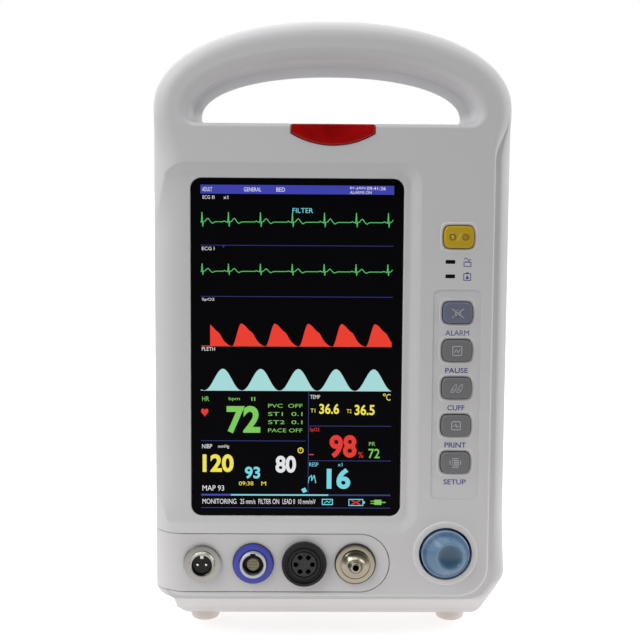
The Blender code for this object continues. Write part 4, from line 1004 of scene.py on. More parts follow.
def battery_door():
    """The battery door with its hinge knuckle and grip ribs, and the sliding latch in its top edge."""
    inner = GAP + 0.05 * MM
    plate = fillet([(-DOOR_HALF + inner, HINGE_Z + 5.25 * MM), (DOOR_HALF - inner, HINGE_Z + 5.25 * MM),
                    (DOOR_HALF - inner, DOOR_TOP - inner), (-DOOR_HALF + inner, DOOR_TOP - inner)],
                   [0.6 * MM, 0.6 * MM, 4.7 * MM, 4.7 * MM], 6)
    door = slab("battery_door_skin", plate, 105.85 * MM, 107.8 * MM, 0.0, 0.5 * MM, 4)
    foot = block("foot", (-33.4 * MM, 33.4 * MM), (105.9 * MM, 107.5 * MM),
                 (HINGE_Z, HINGE_Z + 6 * MM), 0.2 * MM)
    hinge = (0, FACE_Y + HINGE_DEPTH, HINGE_Z)
    knuckle = across(rod("knuckle", 2.05 * MM, (0, 0), -33.3 * MM, 33.3 * MM, 40, 0.3 * MM), hinge)
    combine(door, [foot], "UNION")
    combine(door, [knuckle], "UNION")
    cuts = [across(rod("bore", 1.1 * MM, (0, 0), -36 * MM, 36 * MM, 24, 0), hinge),
            block("seat", (-7.3 * MM, 7.3 * MM), (104 * MM, 109 * MM),
                  (DOOR_TOP - 15.3 * MM, DOOR_TOP + MM))]
    for side in (-1, 1):
        cuts.append(block("slit", (side * 20 * MM - 0.6 * MM, side * 20 * MM + 0.6 * MM),
                          (103 * MM, 110 * MM), (HINGE_Z - 3 * MM, HINGE_Z + 3.4 * MM)))
    combine(door, cuts)
    panel = rounded((-32 * MM, 32 * MM), (HINGE_Z + 11 * MM, DOOR_TOP - 21 * MM), 3 * MM)
    sunk = loft("sunk", [at_depth(panel, 107.3 * MM), at_depth(inset(panel, -0.1 * MM), 107.45 * MM),
                         at_depth(inset(panel, -0.5 * MM), 107.8 * MM),
                         at_depth(inset(panel, -0.5 * MM), 109 * MM)])
    combine(door, [sunk])
    ribs = []
    for i in range(7):
        z = HINGE_Z + 18 * MM + i * 5.2 * MM
        ribs.append(slab("rib", rounded((-27 * MM, 27 * MM), (z, z + 1.6 * MM), 0.78 * MM, 4),
                         107.1 * MM, 107.7 * MM, 0.0, 0.3 * MM))
    combine(door, ribs, "UNION")
    done(door, DOOR_PLASTIC, "battery_door", ["battery_door"])

    outline = rounded((-7 * MM, 7 * MM), (DOOR_TOP - 11.5 * MM, DOOR_TOP - GAP), 1.2 * MM, 5)
    latch = slab("battery_latch_skin", outline, 105.85 * MM, 107.6 * MM, 0.0, 0.4 * MM, 3)
    combine(latch, [block("tongue", (-4.4 * MM, 4.4 * MM), (105.35 * MM, 106.35 * MM),
                          (DOOR_TOP - 4 * MM, DOOR_TOP + 2.35 * MM), 0.2 * MM)], "UNION")
    grips = []
    for i in range(4):
        z = DOOR_TOP - 9.6 * MM + i * 2.1 * MM
        grips.append(slab("grip", rounded((-5 * MM, 5 * MM), (z, z + 0.9 * MM), 0.42 * MM, 4),
                          107.2 * MM, 107.8 * MM, 0.0, 0.2 * MM))
    combine(latch, grips, "UNION")
    done(latch, LATCH, "battery_latch", ["battery_latch"])
    pin = across(rod("battery_door_pin_skin", 0.8 * MM, (0, 0), -35.5 * MM, 35.5 * MM, 32, 0.2 * MM), hinge)
    done(pin, STEEL, "case", ["battery_door_pin"])


def mains_inlet():
    """Three-pin mains inlet with its socket lip and blades."""
    at, (width, height) = middle("mains_inlet"), extent("mains_inlet")
    back = CASE_DEPTH - 0.2 * MM
    body = slab("mains_inlet_skin", centred(at, (width, height), 1.2 * MM), 86 * MM, back, 0.3 * MM, 0.3 * MM)
    mouth = fillet(around(at, (-11.8, -7.9), (11.8, -7.9), (11.8, 3.4), (7.6, 7.9), (-7.6, 7.9),
                          (-11.8, 3.4)), 1.6 * MM, 4)
    combine(body, [loft("mouth", [at_depth(mouth, 91 * MM), at_depth(mouth, back - 0.5 * MM),
                                  at_depth(inset(mouth, -0.5 * MM), back + 0.01 * MM),
                                  at_depth(inset(mouth, -0.5 * MM), CASE_DEPTH + MM)])])
    tongue = around(at, (-8.6, -5.2), (8.6, -5.2), (8.6, 2.2), (5.6, 5.2), (-5.6, 5.2), (-8.6, 2.2))
    combine(body, [slab("floor", fillet(tongue, 1.0 * MM, 3), 90 * MM, 92.2 * MM, 0.0, 0.3 * MM)], "UNION")
    done(body, BLACK, "case", ["mains_inlet"])
    blades = []
    for x, z in ((-7, -1.5), (0, 2), (7, -1.5)):
        centre = (at[0] + x * MM, at[1] + z * MM)
        blades.append(slab("blade", centred(centre, (2 * MM, 4 * MM), 0.3 * MM, 3), 91.5 * MM, 99.5 * MM,
                           0.0, 0.6 * MM))
    done(merge("mains_inlet_blades", blades), PIN_METAL, "case")


def network_socket():
    """Shielded network socket: a folded can, a black insert with a latch notch, and eight contacts."""
    at, (width, height) = middle("network_socket"), extent("network_socket")
    back = CASE_DEPTH - 0.2 * MM
    can = slab("network_socket_skin", centred(at, (width, height), MM, 4), 92 * MM, back, 0.3 * MM, 0.25 * MM)
    combine(can, [block("mouth", (at[0] - 6.4 * MM, at[0] + 6.4 * MM), (94 * MM, CASE_DEPTH + MM),
                        (at[1] - 5.6 * MM, at[1] + 5.0 * MM))])
    done(can, SHEET, "case", ["network_socket"])
    x, z = at
    outer = around(at, (-6.3, -5.5), (6.3, -5.5), (6.3, 4.9), (-6.3, 4.9))
    insert = slab("network_socket_insert", outer, 94.1 * MM, back - 0.4 * MM, 0.0, 0.1 * MM, 1)
    throat = around(at, (-5.9, -2.6), (-3.2, -2.6), (-3.2, -4.2), (-1.6, -4.2), (-1.6, -5.1), (1.6, -5.1),
                    (1.6, -4.2), (3.2, -4.2), (3.2, -2.6), (5.9, -2.6), (5.9, 4.2), (-5.9, 4.2))
    combine(insert, [slab("throat", throat, 95.2 * MM, CASE_DEPTH + MM)])
    done(insert, BLACK, "case")
    contacts = []
    for i in range(8):
        cx = x + (i - 3.5) * 1.05 * MM
        contacts.append(block("contact", (cx - 0.22 * MM, cx + 0.22 * MM), (95.3 * MM, 104 * MM),
                              (z + 3.2 * MM, z + 3.8 * MM), 0.08 * MM))
    done(merge("network_socket_contacts", contacts), GOLD, "case")


def earth_post():
    """The brass earth post in its round opening."""
    back = CASE_DEPTH - 0.2 * MM
    profile = [(0, 96), (6.5, 96), (6.5, 99), (3.8, 99), (3.8, 104.6), (3.4, 105.3), (2.2, 105.6)]
    profile = scaled(profile)
    for i in range(4):
        d = 105.8 * MM + i * 0.45 * MM
        profile += [(2.2 * MM, d), (1.95 * MM, d + 0.2 * MM)]
    profile += [(2.1 * MM, back - 0.3 * MM), (1.8 * MM, back), (0, back)]
    done(turned("earth_post_skin", profile, middle("earth_post"), soft=0), BRASS, "case",
         ["earth_post"])


def case_screws():
    """Cross-recessed pan-head screws deep in their wells."""
    for name in SCREWS:
        at = middle(name)
        profile = [(0, 12), (0.9, 12), (1.35, 12.8)]
        for i in range(16):
            profile += [(1.4, 13.4 + 0.55 * i), (1.15, 13.65 + 0.55 * i)]
        profile += [(1.3, 22.4), (1.3, 30.8), (2.85, 30.8), (2.9, 31.4), (2.7, 32.3), (2.0, 32.85), (0, 33)]
        screw = turned(f"{name}_skin", scaled(profile), at, 40, soft=0)
        cross = [block("arm", (at[0] - w * MM, at[0] + w * MM), (31.9 * MM, 34 * MM),
                       (at[1] - h * MM, at[1] + h * MM)) for w, h in ((1.5, 0.3), (0.3, 1.5))]
        combine(cross[0], [cross[1]], "UNION")
        combine(screw, [cross[0]])
        done(screw, SCREW_STEEL, "case", [name])


def feet():
    """Four moulded rubber feet with a dished sole."""
    for end in ("front", "rear"):
        for side in ("left", "right"):
            name = f"foot_{end}_{side}"
            low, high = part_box(name)
            radius, height = (high.x - low.x) / 2, high.z - low.z
            profile = [(0, 0.5 * MM), (3.2 * MM, 0.5 * MM), (3.9 * MM, 0.15 * MM), (4.6 * MM, 0),
                       (5.4 * MM, 0.05 * MM), (6.3 * MM, 0.5 * MM), (6.9 * MM, 1.3 * MM),
                       (radius - 0.08 * MM, 2.3 * MM), (radius, 3.2 * MM), (radius, height - 0.6 * MM),
                       (radius - 0.25 * MM, height - 0.2 * MM), (radius - 0.6 * MM, height), (0, height)]
            foot = turned(f"{name}_skin", profile, (0, 0), 64, soft=0)
            foot.data.transform(Matrix.Translation((0, -FACE_Y, 0)))
            foot.data.transform(Matrix.Rotation(math.pi / 2, 4, "X"))
            foot.data.transform(Matrix.Translation(((low.x + high.x) / 2, (low.y + high.y) / 2, 0)))
            done(foot, RUBBER, "case", [name])


# ---------------------------------------------------------------- flat artwork

class Artwork:
    """Thin flat marks facing the front, drawn in millimetres right and down from an origin."""

    def __init__(self, name, origin, surface):
        self.name, self.origin = name, origin
        self.front, self.back = surface - 0.02 * MM, surface + 0.06 * MM
        self.inks = {}

    def fill(self, ink, outline):
        """A filled outline."""
        bm = self.inks.setdefault(ink, bmesh.new())
        points = [(self.origin[0] + x * MM, self.origin[1] - y * MM) for x, y in outline]
        rings = [[bm.verts.new(p) for p in at_depth(points, d)] for d in (self.front, self.back)]
        for ring in rings:
            bm.faces.new(ring)
        for i in range(len(points)):
            bm.faces.new((rings[0][i - 1], rings[0][i], rings[1][i], rings[1][i - 1]))

    def bar(self, ink, x0, y0, x1, y1):
        self.fill(ink, [(x0, y0), (x1, y0), (x1, y1), (x0, y1)])

    def stroke(self, ink, points, width, closed=False):
        """A line of straight strokes through the points."""
        ends = list(points) + ([points[0]] if closed else [])
        for start, end in zip(ends, ends[1:]):
            a, b = Vector(start), Vector(end)
            along = (b - a).normalized() * (width / 2)
            side = Vector((-along.y, along.x))
            a, b = a - along * 0.8, b + along * 0.8
            self.fill(ink, [a + side, a - side, b - side, b + side])

    def ring(self, ink, centre, radius, width, start=0, end=360, steps=28):
        self.stroke(ink, arc(centre, radius, start, end, steps), width)

    def under(self, ink, points, base):
        """The area between a curve and a level base."""
        for (x0, y0), (x1, y1) in zip(points, points[1:]):
            self.fill(ink, [(x0, base), (x1 + 0.02, base), (x1 + 0.02, y1 - 0.01), (x0, y0 - 0.01)])

    def words(self, ink, text, x0, y0, x1, y1, bold=0.0):
        """Text stretched to fill a box."""
        curve = bpy.data.curves.new(self.name, "FONT")
        curve.body, curve.extrude, curve.offset, curve.resolution_u = text, 0.5, bold, 4
        letters = bpy.data.objects.new(self.name, curve)
        bpy.context.scene.collection.objects.link(letters)
        bpy.context.view_layer.update()
        mesh = bpy.data.meshes.new_from_object(letters.evaluated_get(bpy.context.evaluated_depsgraph_get()))
        bpy.data.objects.remove(letters)
        xs, ys = [v.co.x for v in mesh.vertices], [v.co.y for v in mesh.vertices]
        wide, high = (x1 - x0) * MM / (max(xs) - min(xs)), (y1 - y0) * MM / (max(ys) - min(ys))
        left, low = self.origin[0] + x0 * MM, self.origin[1] - y1 * MM
        for vert in mesh.vertices:
            x, y, z = vert.co
            vert.co = (left + (x - min(xs)) * wide, FACE_Y + mix(self.front, self.back, 0.5 - z),
                       low + (y - min(ys)) * high)
        bm = bmesh.new()
        bm.from_mesh(mesh)
        bmesh.ops.remove_doubles(bm, verts=bm.verts, dist=0.0002 * MM)
        bm.to_mesh(mesh)
        bm.free()
        self.inks.setdefault(ink, bmesh.new()).from_mesh(mesh)
        bpy.data.meshes.remove(mesh)

    def captions(self, *rows):
        """Several texts, each with its ink, its text and its box."""
        for row in rows:
            self.words(*row)

    def finish(self, body, slot):
        """Makes one object for each ink."""
        for ink, bm in self.inks.items():
            done(add_object(f"{self.name}_{ink.name}", bm), ink, body, angle=20)


# ---------------------------------------------------------------- display

def heart_beat(start, height, dip, base):
    """One beat of an electrocardiogram as (x, y) points around its spike."""
    shape = [(-2.6, 0), (-1.9, 0.1), (-1.2, 0), (-0.5, 0), (-0.32, -0.08), (0, 1), (0.34, -dip),
             (0.62, 0), (1.4, 0.04), (2.1, 0.26), (2.7, 0.37), (3.2, 0.28), (3.9, 0.02), (4.6, -0.15),
             (5.0, -0.16), (5.7, -0.05), (6.5, 0)]
    return [(start + x, base - height * y) for x, y in shape]


def screen():
    """The lit display: waveforms above, numbers below."""
    green = glowing("screen_green", (84, 206, 110), 0.95)
    lime = glowing("screen_lime", (128, 210, 92), 0.95)
    white = glowing("screen_white", (236, 238, 240), 0.95)
    blue = glowing("screen_blue", (62, 66, 176), 0.95)
    dim = glowing("screen_dim_blue", (52, 62, 140), 0.7)
    red = glowing("screen_red", (238, 52, 44), 0.95)
    pulse_red = glowing("screen_pulse_red", (244, 60, 44), 0.95)
    yellow = glowing("screen_yellow", (250, 236, 84), 0.95)
    cyan = glowing("screen_cyan", (120, 222, 236), 0.95)
    pale = glowing("screen_pale_cyan", (176, 232, 230), 0.9)
    art = Artwork("screen", LIT_CORNER, WINDOW_DEPTH)
    wide, tall = LIT_SIZE[0] / MM, LIT_SIZE[1] / MM

    art.bar(blue, 0, 0.3, wide, 4.4)
    over = Artwork("screen_header", LIT_CORNER, WINDOW_DEPTH - 0.03 * MM)
    over.captions((white, "ADULT", 0.8, 1.4, 5.4, 3.3), (white, "GENERAL", 20, 1.4, 28, 3.3),
                  (white, "BED", 35, 1.4, 39, 3.3), (white, "01-JAN", 69, 0.8, 76, 2.3),
                  (white, "09:41:26", 76.8, 0.8, 85.5, 2.3), (white, "ALARMS ON", 69, 2.8, 79, 4.1))
    art.captions((white, "ECG", 1, 5.2, 4.4, 6.8), (white, "II", 5.4, 5.2, 6.4, 6.8),
                 (white, "x1", 10.6, 5.2, 12.8, 6.8), (cyan, "FILTER", 42.5, 10.8, 52, 13.0))

    for base, height, dip in ((17.3, 4.3, 0.49), (40.2, 3.4, 0.47)):
        trace = []
        for start in (0.7, *(12.9 + 14.8 * i for i in range(6))):
            trace += heart_beat(start, height, dip, base)
        art.stroke(green, [(x, y) for x, y in trace if 0 <= x <= wide], 0.36)
    for y, label in ((28.0, "ECG I"), (51.8, "SpO2")):
        art.bar(dim, 0, y, wide, y + 0.28)
        art.words(white, label, 0.6, y + 0.9, 6.4, y + 2.5)
    art.fill(dim, [(9.8, 28.1), (11.4, 28.1), (10.6, 29.4)])

    pulse = []
    for i in range(14, int(wide * 3.2)):
        x = i / 3.2
        share = ((x + 1.0) / 15.6) % 1.0
        level = eased(share / 0.27) if share < 0.27 else 1 - eased((share - 0.27) / 0.73) ** 0.85
        level += 0.09 * math.exp(-((share - 0.62) / 0.08) ** 2)
        pulse.append((x, 75.2 - 10.6 * min(1.0, level)))
    art.under(pulse_red, pulse, 75.3)
    art.bar(pulse_red, 0.3, 75.0, 4.4, 75.3)
    art.words(white, "PLETH", 0.5, 75.7, 6.6, 77.4)
    breath = [(i / 3.2, 96.1 - 10.2 * abs(math.sin(math.pi * (i / 3.2 - 1.45) / 17.65)) ** 2.2)
              for i in range(int(wide * 3.2))]
    art.under(pale, breath, 96.25)

    art.captions((lime, "HR", 0.6, 99.0, 3.8, 101.2), (lime, "bpm", 13, 99.2, 18.2, 101.2),
                 (lime, "II", 23.6, 99.2, 25.4, 101.0), (lime, "72", 12.0, 103.4, 27.8, 116.5, 0.035))
    beat = []
    for i in range(36):
        a = math.tau * i / 36
        beat.append((1.75 + 1.75 * math.sin(a) ** 3,
                     106.4 - 0.135 * (13 * math.cos(a) - 5 * math.cos(2 * a) - 2 * math.cos(3 * a)
                                      - math.cos(4 * a))))
    art.fill(red, beat)
    for i, line in enumerate(("PVC  OFF", "ST1  0.1", "ST2  0.1", "PACE OFF")):
        art.words(lime, line, 31.5, 102.4 + 3.9 * i, 47.6, 104.2 + 3.9 * i)
    art.bar(dim, 0, 119.9, 49.2, 120.2)
    art.captions((white, "NIBP", 0.5, 121.7, 5.2, 123.7), (white, "mmHg", 8, 121.9, 13.2, 123.9),
                 (yellow, "120", 0.7, 126.5, 15.3, 135.1, 0.035),
                 (cyan, "93", 20.6, 132.4, 27.8, 138.2, 0.03),
                 (white, "80", 35.0, 127.1, 44.7, 135.3, 0.035),
                 (yellow, "09:38", 17.8, 139.5, 24.6, 141.4), (yellow, "M", 28.4, 139.5, 30.6, 141.4),
                 (white, "MAP 93", 0.6, 141.4, 10.8, 144.0))
    art.ring(yellow, (46.8, 124.5), 1.2, 0.4)
    art.stroke(yellow, [(46.8, 124.5), (46.8, 123.8)], 0.35)
    art.fill(cyan, [(47.2, 143.2), (49.0, 142.3), (50.0, 144.2), (48.2, 145.0)])

    art.bar(dim, 50.3, 96.6, 50.6, 145.0)
    art.captions((white, "TEMP", 51.2, 98.1, 55.8, 99.9), (yellow, "36.6", 55.5, 102.2, 64.8, 107.1, 0.025),
                 (yellow, "36.5", 72.1, 102.6, 81.5, 107.6, 0.025),
                 (yellow, "T1", 51.4, 104.6, 53.6, 106.4), (yellow, "T2", 68.4, 104.8, 70.6, 106.6))
    art.ring(yellow, (86.0, 97.9), 0.5, 0.28, steps=14)
    art.words(yellow, "C", 86.9, 97.5, 88.9, 100.6)
    for y in (112.7, 129.3):
        art.bar(dim, 50.4, y, wide, y + 0.3)
    art.captions((red, "SpO2", 51.1, 113.7, 55.6, 115.9), (red, "98", 60.4, 117.1, 73.2, 128.1, 0.035),
                 (red, "%", 74.0, 125.2, 76.3, 128.0))
    art.stroke(red, [(51.0, 126.5), (52.8, 126.5)], 0.5)
    art.captions((lime, "PR", 79.0, 120.4, 82.0, 122.2), (lime, "72", 78.8, 123.6, 84.1, 128.2, 0.01),
                 (cyan, "RESP", 50.9, 130.3, 55.2, 132.2), (cyan, "x1", 64.4, 130.4, 66.6, 132.1),
                 (cyan, "16", 59.2, 133.0, 70.4, 143.0, 0.035))
    art.stroke(cyan, [(50.5, 140.0), (50.9, 137.6), (52.1, 136.5), (52.1, 139.0), (53.3, 136.5),
                      (53.6, 137.8),
                      (54.0, 140.0)], 0.4)

    art.bar(blue, 0, 145.5, 14, 146.4)
    art.bar(cyan, 14, 145.6, 60, 146.3)
    art.bar(dim, 60, 145.6, wide, 146.3)
    art.captions((white, "MONITORING", 0.6, 147.9, 16.6, 150.3),
                 (white, "25 mm/s  FILTER ON", 18.4, 147.9, 36.8, 150.3),
                 (white, "LEAD II  10 mm/mV", 38.4, 147.9, 54.0, 150.3))
    art.stroke(cyan, [(57.2, 148.0), (62.0, 148.0), (62.0, 150.5), (57.2, 150.5)], 0.45, True)
    art.stroke(cyan, [(58.2, 149.8), (59.4, 148.8), (60.4, 149.6), (61.2, 148.7)], 0.35)
    art.stroke(cyan, [(69.8, 148.0), (76.4, 148.0), (76.4, 150.9), (69.8, 150.9)], 0.4, True)
    art.bar(cyan, 76.6, 148.9, 77.3, 150.0)
    art.stroke(red, [(71.2, 148.6), (75.0, 150.3)], 0.5)
    art.stroke(red, [(71.2, 150.3), (75.0, 148.6)], 0.5)
    art.bar(lime, 81.8, 148.1, 85.2, 150.6)
    art.stroke(lime, [(80.2, 148.8), (81.9, 148.8)], 0.4)
    art.stroke(lime, [(80.2, 149.9), (81.9, 149.9)], 0.4)
    art.stroke(lime, [(85.2, 149.4), (87.0, 149.4)], 0.5)
    art.bar(dim, 0, tall - 0.3, wide, tall)
    art.finish("case", "lcd")
    over.finish("case", "lcd")


def display_window():
    """The black window with its softened rim."""
    outline = centred(WINDOW_AT, WINDOW_SIZE, WINDOW_CORNER, 14)
    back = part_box("display_window")[1].y - FACE_Y
    pane = slab("display_window_skin", outline, WINDOW_DEPTH, back, 0.25 * MM, 0.1 * MM, 4)
    done(pane, WINDOW, "case", ["display_window"])


# ---------------------------------------------------------------- controls

def key_cap(name, at, size, plastic):
    """One key: a slightly crowned cap above its flanged skirt."""
    crown = [(3.2, 0), (2.2, 0.01), (1.4, 0.04), (0.8, 0.1), (0.42, 0.2), (0.16, 0.4), (0.03, 0.7), (0, 1.1)]
    sections = [at_depth(barrel(at, size, -drawn * MM), drop * MM - KEY_PROUD) for drawn, drop in crown]
    sections += [at_depth(barrel(at, size), 5.4 * MM), at_depth(barrel(at, size, KEY_FLANGE), 5.5 * MM),
                 at_depth(barrel(at, size, KEY_FLANGE), 6.6 * MM)]
    done(loft(f"{name}_skin", sections), plastic, name, [name])


def keys():
    """The power button and the five keys, with their symbols and the labels below them."""
    looks = {"power_button": (YELLOW, "yellow"), "silence_key": (SLATE, "blue_grey")}
    labels = {"silence_key": ("ALARM", 11.0, 0.0), "freeze_key": ("PAUSE", 10.6, 0.014),
              "cuff_key": ("CUFF", 8.0, 0.014), "record_key": ("PRINT", 10.2, 0.014),
              "menu_key": ("SETUP", 10.6, 0.014)}
    for name, at, size in key_places():
        plastic, slot = looks.get(name, (GREY, "grey"))
        key_cap(name, at, size, plastic)
        art = Artwork(f"{name}_symbol", at, -KEY_PROUD)
        if name == "power_button":
            art.ring(ICON_PALE, (-3.0, 0), 1.3, 0.4)
            art.stroke(ICON_PALE, [(-3.0, -2.1), (-3.0, -0.5)], 0.4)
            art.stroke(ICON_PALE, [(-0.7, 1.6), (0.7, -1.6)], 0.36)
            art.ring(ICON_PALE, (3.0, 0), 1.3, 0.4)
            art.ring(ICON_PALE, (3.0, 0), 0.4, 0.3, steps=10)
        elif name == "silence_key":
            bell = [(-1.7, 1.2), (-1.25, 0.6), (-1.15, -0.5), (-0.7, -1.2), (-0.15, -1.45), (0.15, -1.45),
                    (0.7, -1.2), (1.15, -0.5), (1.25, 0.6), (1.7, 1.2)]
            art.stroke(ICON_WHITE, bell, 0.3, True)
            art.ring(ICON_WHITE, (0, 1.5), 0.4, 0.26, steps=12)
            art.stroke(ICON_WHITE, [(-2.6, -1.9), (2.6, 2.1)], 0.32)
            art.stroke(ICON_WHITE, [(-2.6, 2.1), (2.6, -1.9)], 0.32)
        elif name == "freeze_key":
            art.stroke(ICON_WHITE, [(-2.1, -2.1), (2.1, -2.1), (2.1, 2.1), (-2.1, 2.1)], 0.36, True)
            art.stroke(ICON_WHITE, [(-1.3, 0.8), (-0.5, -0.7), (0.4, 0.9), (1.3, -0.6)], 0.32)
        elif name == "cuff_key":
            arm = [(-2.7, 1.8), (-2.2, 0.3), (-1.0, -1.2), (-0.3, -2.1), (0.1, -1.2), (-0.4, 0.2),
                   (-1.3, 1.8)]
            art.stroke(ICON_WHITE, arm, 0.3, True)
            art.stroke(ICON_WHITE, [(x + 2.7, y) for x, y in arm], 0.3, True)
            art.stroke(ICON_WHITE, [(-2.2, 0.6), (-0.6, 0.9)], 0.28)
            art.stroke(ICON_WHITE, [(0.5, 0.6), (2.1, 0.9)], 0.28)
        elif name == "record_key":
            art.stroke(ICON_WHITE, [(-2.0, -1.9), (2.0, -1.9), (2.0, 1.9), (-2.0, 1.9)], 0.36, True)
            art.stroke(ICON_WHITE, [(-1.3, 0.2), (-0.5, 0.2), (-0.1, -1.0), (0.4, 1.0), (0.7, 0.2),
                                    (1.3, 0.2)],
                       0.3)
        else:
            art.stroke(ICON_WHITE, rounded((-2.5, 2.5), (-2.0, 2.0), 0.7, 3), 0.34, True)
            for row in (-1.0, 0.0, 1.0):
                art.bar(ICON_WHITE, -1.6, row - 0.22, -1.1, row + 0.22)
                art.bar(ICON_WHITE, -0.7, row - 0.22, 1.7, row + 0.22)
        art.finish(name, slot)
        if name in labels:
            text, width, bold = labels[name]
            label = Artwork(f"{name}_label", at, KEYPAD_DEPTH)
            label.words(LABEL_BLUE, text, -width / 2, 8.2, width / 2, 10.65, bold)
            label.finish("case", "case")


def lights():
    """The two light pipes with their printed symbols, and the red alarm lens in the handle's foot."""
    for name in ("mains_light_pipe", "battery_light_pipe"):
        low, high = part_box(name)
        pipe = slab(f"{name}_skin", centred(middle(name), extent(name), 0.35 * MM, 4), low.y - FACE_Y,
                    high.y - FACE_Y, 0.15 * MM, 0.1 * MM)
        done(pipe, SMOKE, "case", [name])
    art = Artwork("light_symbols", (62.65 * MM, 0), 0.0)
    top, low = -middle("mains_light_pipe")[1] / MM, -middle("battery_light_pipe")[1] / MM
    wave = [(-1.5 + 0.25 * i, top - 1.3 - 0.5 * math.sin(math.tau * i / 12)) for i in range(13)]
    art.stroke(LABEL_BLUE, wave, 0.32)
    art.stroke(LABEL_BLUE, [(-1.6, top + 0.1), (1.6, top + 0.1), (1.6, top + 2.0), (-1.6, top + 2.0)],
               0.34, True)
    art.stroke(LABEL_BLUE, [(-0.8, top - 0.3), (-0.4, top - 0.3)], 0.3)
    art.stroke(LABEL_BLUE, [(0.4, top - 0.3), (0.8, top - 0.3)], 0.3)
    art.stroke(LABEL_BLUE, [(-1.6, low - 1.3), (1.6, low - 1.3), (1.6, low + 1.8), (-1.6, low + 1.8)],
               0.34, True)
    art.bar(LABEL_BLUE, -0.6, low - 1.9, 0.6, low - 1.4)
    art.fill(LABEL_BLUE, [(-0.9, low + 1.2), (0.9, low + 1.2), (0.0, low - 0.6)])
    art.finish("case", "case")

    outline = alarm_outline(0.0, HAND_Z - 0.15 * MM, 0.9 * MM)
    front = [(0.8, -0.66), (0.6, -0.62), (0.4, -0.5), (0.2, -0.3), (0.06, -0.06), (0, 0.3)]
    lens = loft("alarm_lens_skin", [at_depth(inset(outline, drawn * MM), depth * MM) for drawn,
                                    depth in front]
                + [at_depth(outline, 8.3 * MM)])
    done(lens, RED, "case", ["alarm_lens"])


def knob():
    """The rotary knob: a cone that leans from its rim to the off-centre tip with the finger dimple."""
    bowl = [(0, 1.72), (1.4, 1.68), (2.9, 1.5), (4.2, 1.15), (5.1, 0.72), (5.65, 0.34), (5.95, 0.1),
            (6.2, 0.01),
            (6.45, 0), (6.7, 0.05), (6.95, 0.22), (7.15, 0.5)]
    shape = [(0.0, radius, depth - KNOB_REACH / MM) for radius, depth in bowl]
    shape += [(0.33, 8.5, -5.75), (0.66, 9.85, -4.0), (0.97, 10.65, -2.5), (1.0, 10.95, -2.2),
              (1.0, 11.22, -1.98),
              (1.0, 11.38, -1.75), (1.0, 11.45, -1.4), (1.0, 11.45, 2.3), (1.0, 11.3, 2.5), (1.0, 9.9, 2.5),
              (1.0, 9.9, -0.5), (1.0, 5.5, -2.0), (1.0, 5.5, 2.5), (1.0, 3.3, 2.5), (1.0, 3.3, -3.3),
              (1.0, 0, -3.3)]
    rings = []
    for share, radius, depth in shape:
        at = (mix(KNOB_TIP[0], KNOB_AT[0], share), mix(KNOB_TIP[1], KNOB_AT[1], share))
        outline = arc(at, radius * MM, 0, 357.1875, 127) if radius else [at]
        rings.append(at_depth(outline, depth * MM))
    done(loft("encoder_knob_skin", rings), KNOB, "knob", ["encoder_knob"])


# ---------------------------------------------------------------- patient connectors

def painted_shade_ring(name, at, radius):
    """A thin black ring that stands in for shade: a painted shadow line around a connector's flange."""
    profile = scaled([(radius, -1.3), (radius + 0.25, -1.1), (radius + 0.32, -0.02), (radius, -0.02)])
    done(turned(name, profile, at, 80, True, 0.05 * MM), BLACK, "case")


def temp_connector(at):
    """Threaded nickel socket with a keyed black insert and two pins."""
    thread = []
    for i in range(4):
        thread += [(6.0, -3.7 + 0.5 * i), (5.76, -3.45 + 0.5 * i)]
    profile = [(4.8, -4.1), (4.95, -4.2), (5.6, -4.2), (5.85, -4.0), *thread, (5.7, -1.9), (8.5, -1.9),
               (8.8, -1.7),
               (8.9, -1.35), (8.9, -0.3), (5.4, -0.3), (5.4, 12), (4.8, 12)]
    done(turned("temp_socket_skin", scaled(profile), at, 72, True, 0), BRIGHT_NICKEL, "case",
         ["temp_socket"])
    insert = turned("temp_insert_skin", scaled([(0, -2.8), (4.2, -2.8), (4.5, -2.5), (4.5, 10), (0, 10)]),
                    at, 56,
                    soft=0)
    combine(insert, [rod("well", 0.95 * MM, (at[0] + x * MM, at[1]), -4 * MM, -2.4 * MM, 20,
                         0) for x in (-2, 2)])
    done(insert, DEEP_BLACK, "case", ["temp_insert"])
    pins = [turned("pin", scaled([(0, -3.9), (0.35, -3.86), (0.58, -3.65), (0.6, -3.3), (0.6, -2), (0, -2)]),
                   (at[0] + x * MM, at[1]), 20, soft=0) for x in (-2, 2)]
    pins.append(slab("key", centred((at[0], at[1] + 3.75 * MM), (1.7 * MM, 1.7 * MM), 0.3 * MM, 3), -3.4 * MM,
                     -2.4 * MM, 0.15 * MM))
    done(merge("temp_contacts", pins), PIN_METAL, "case")


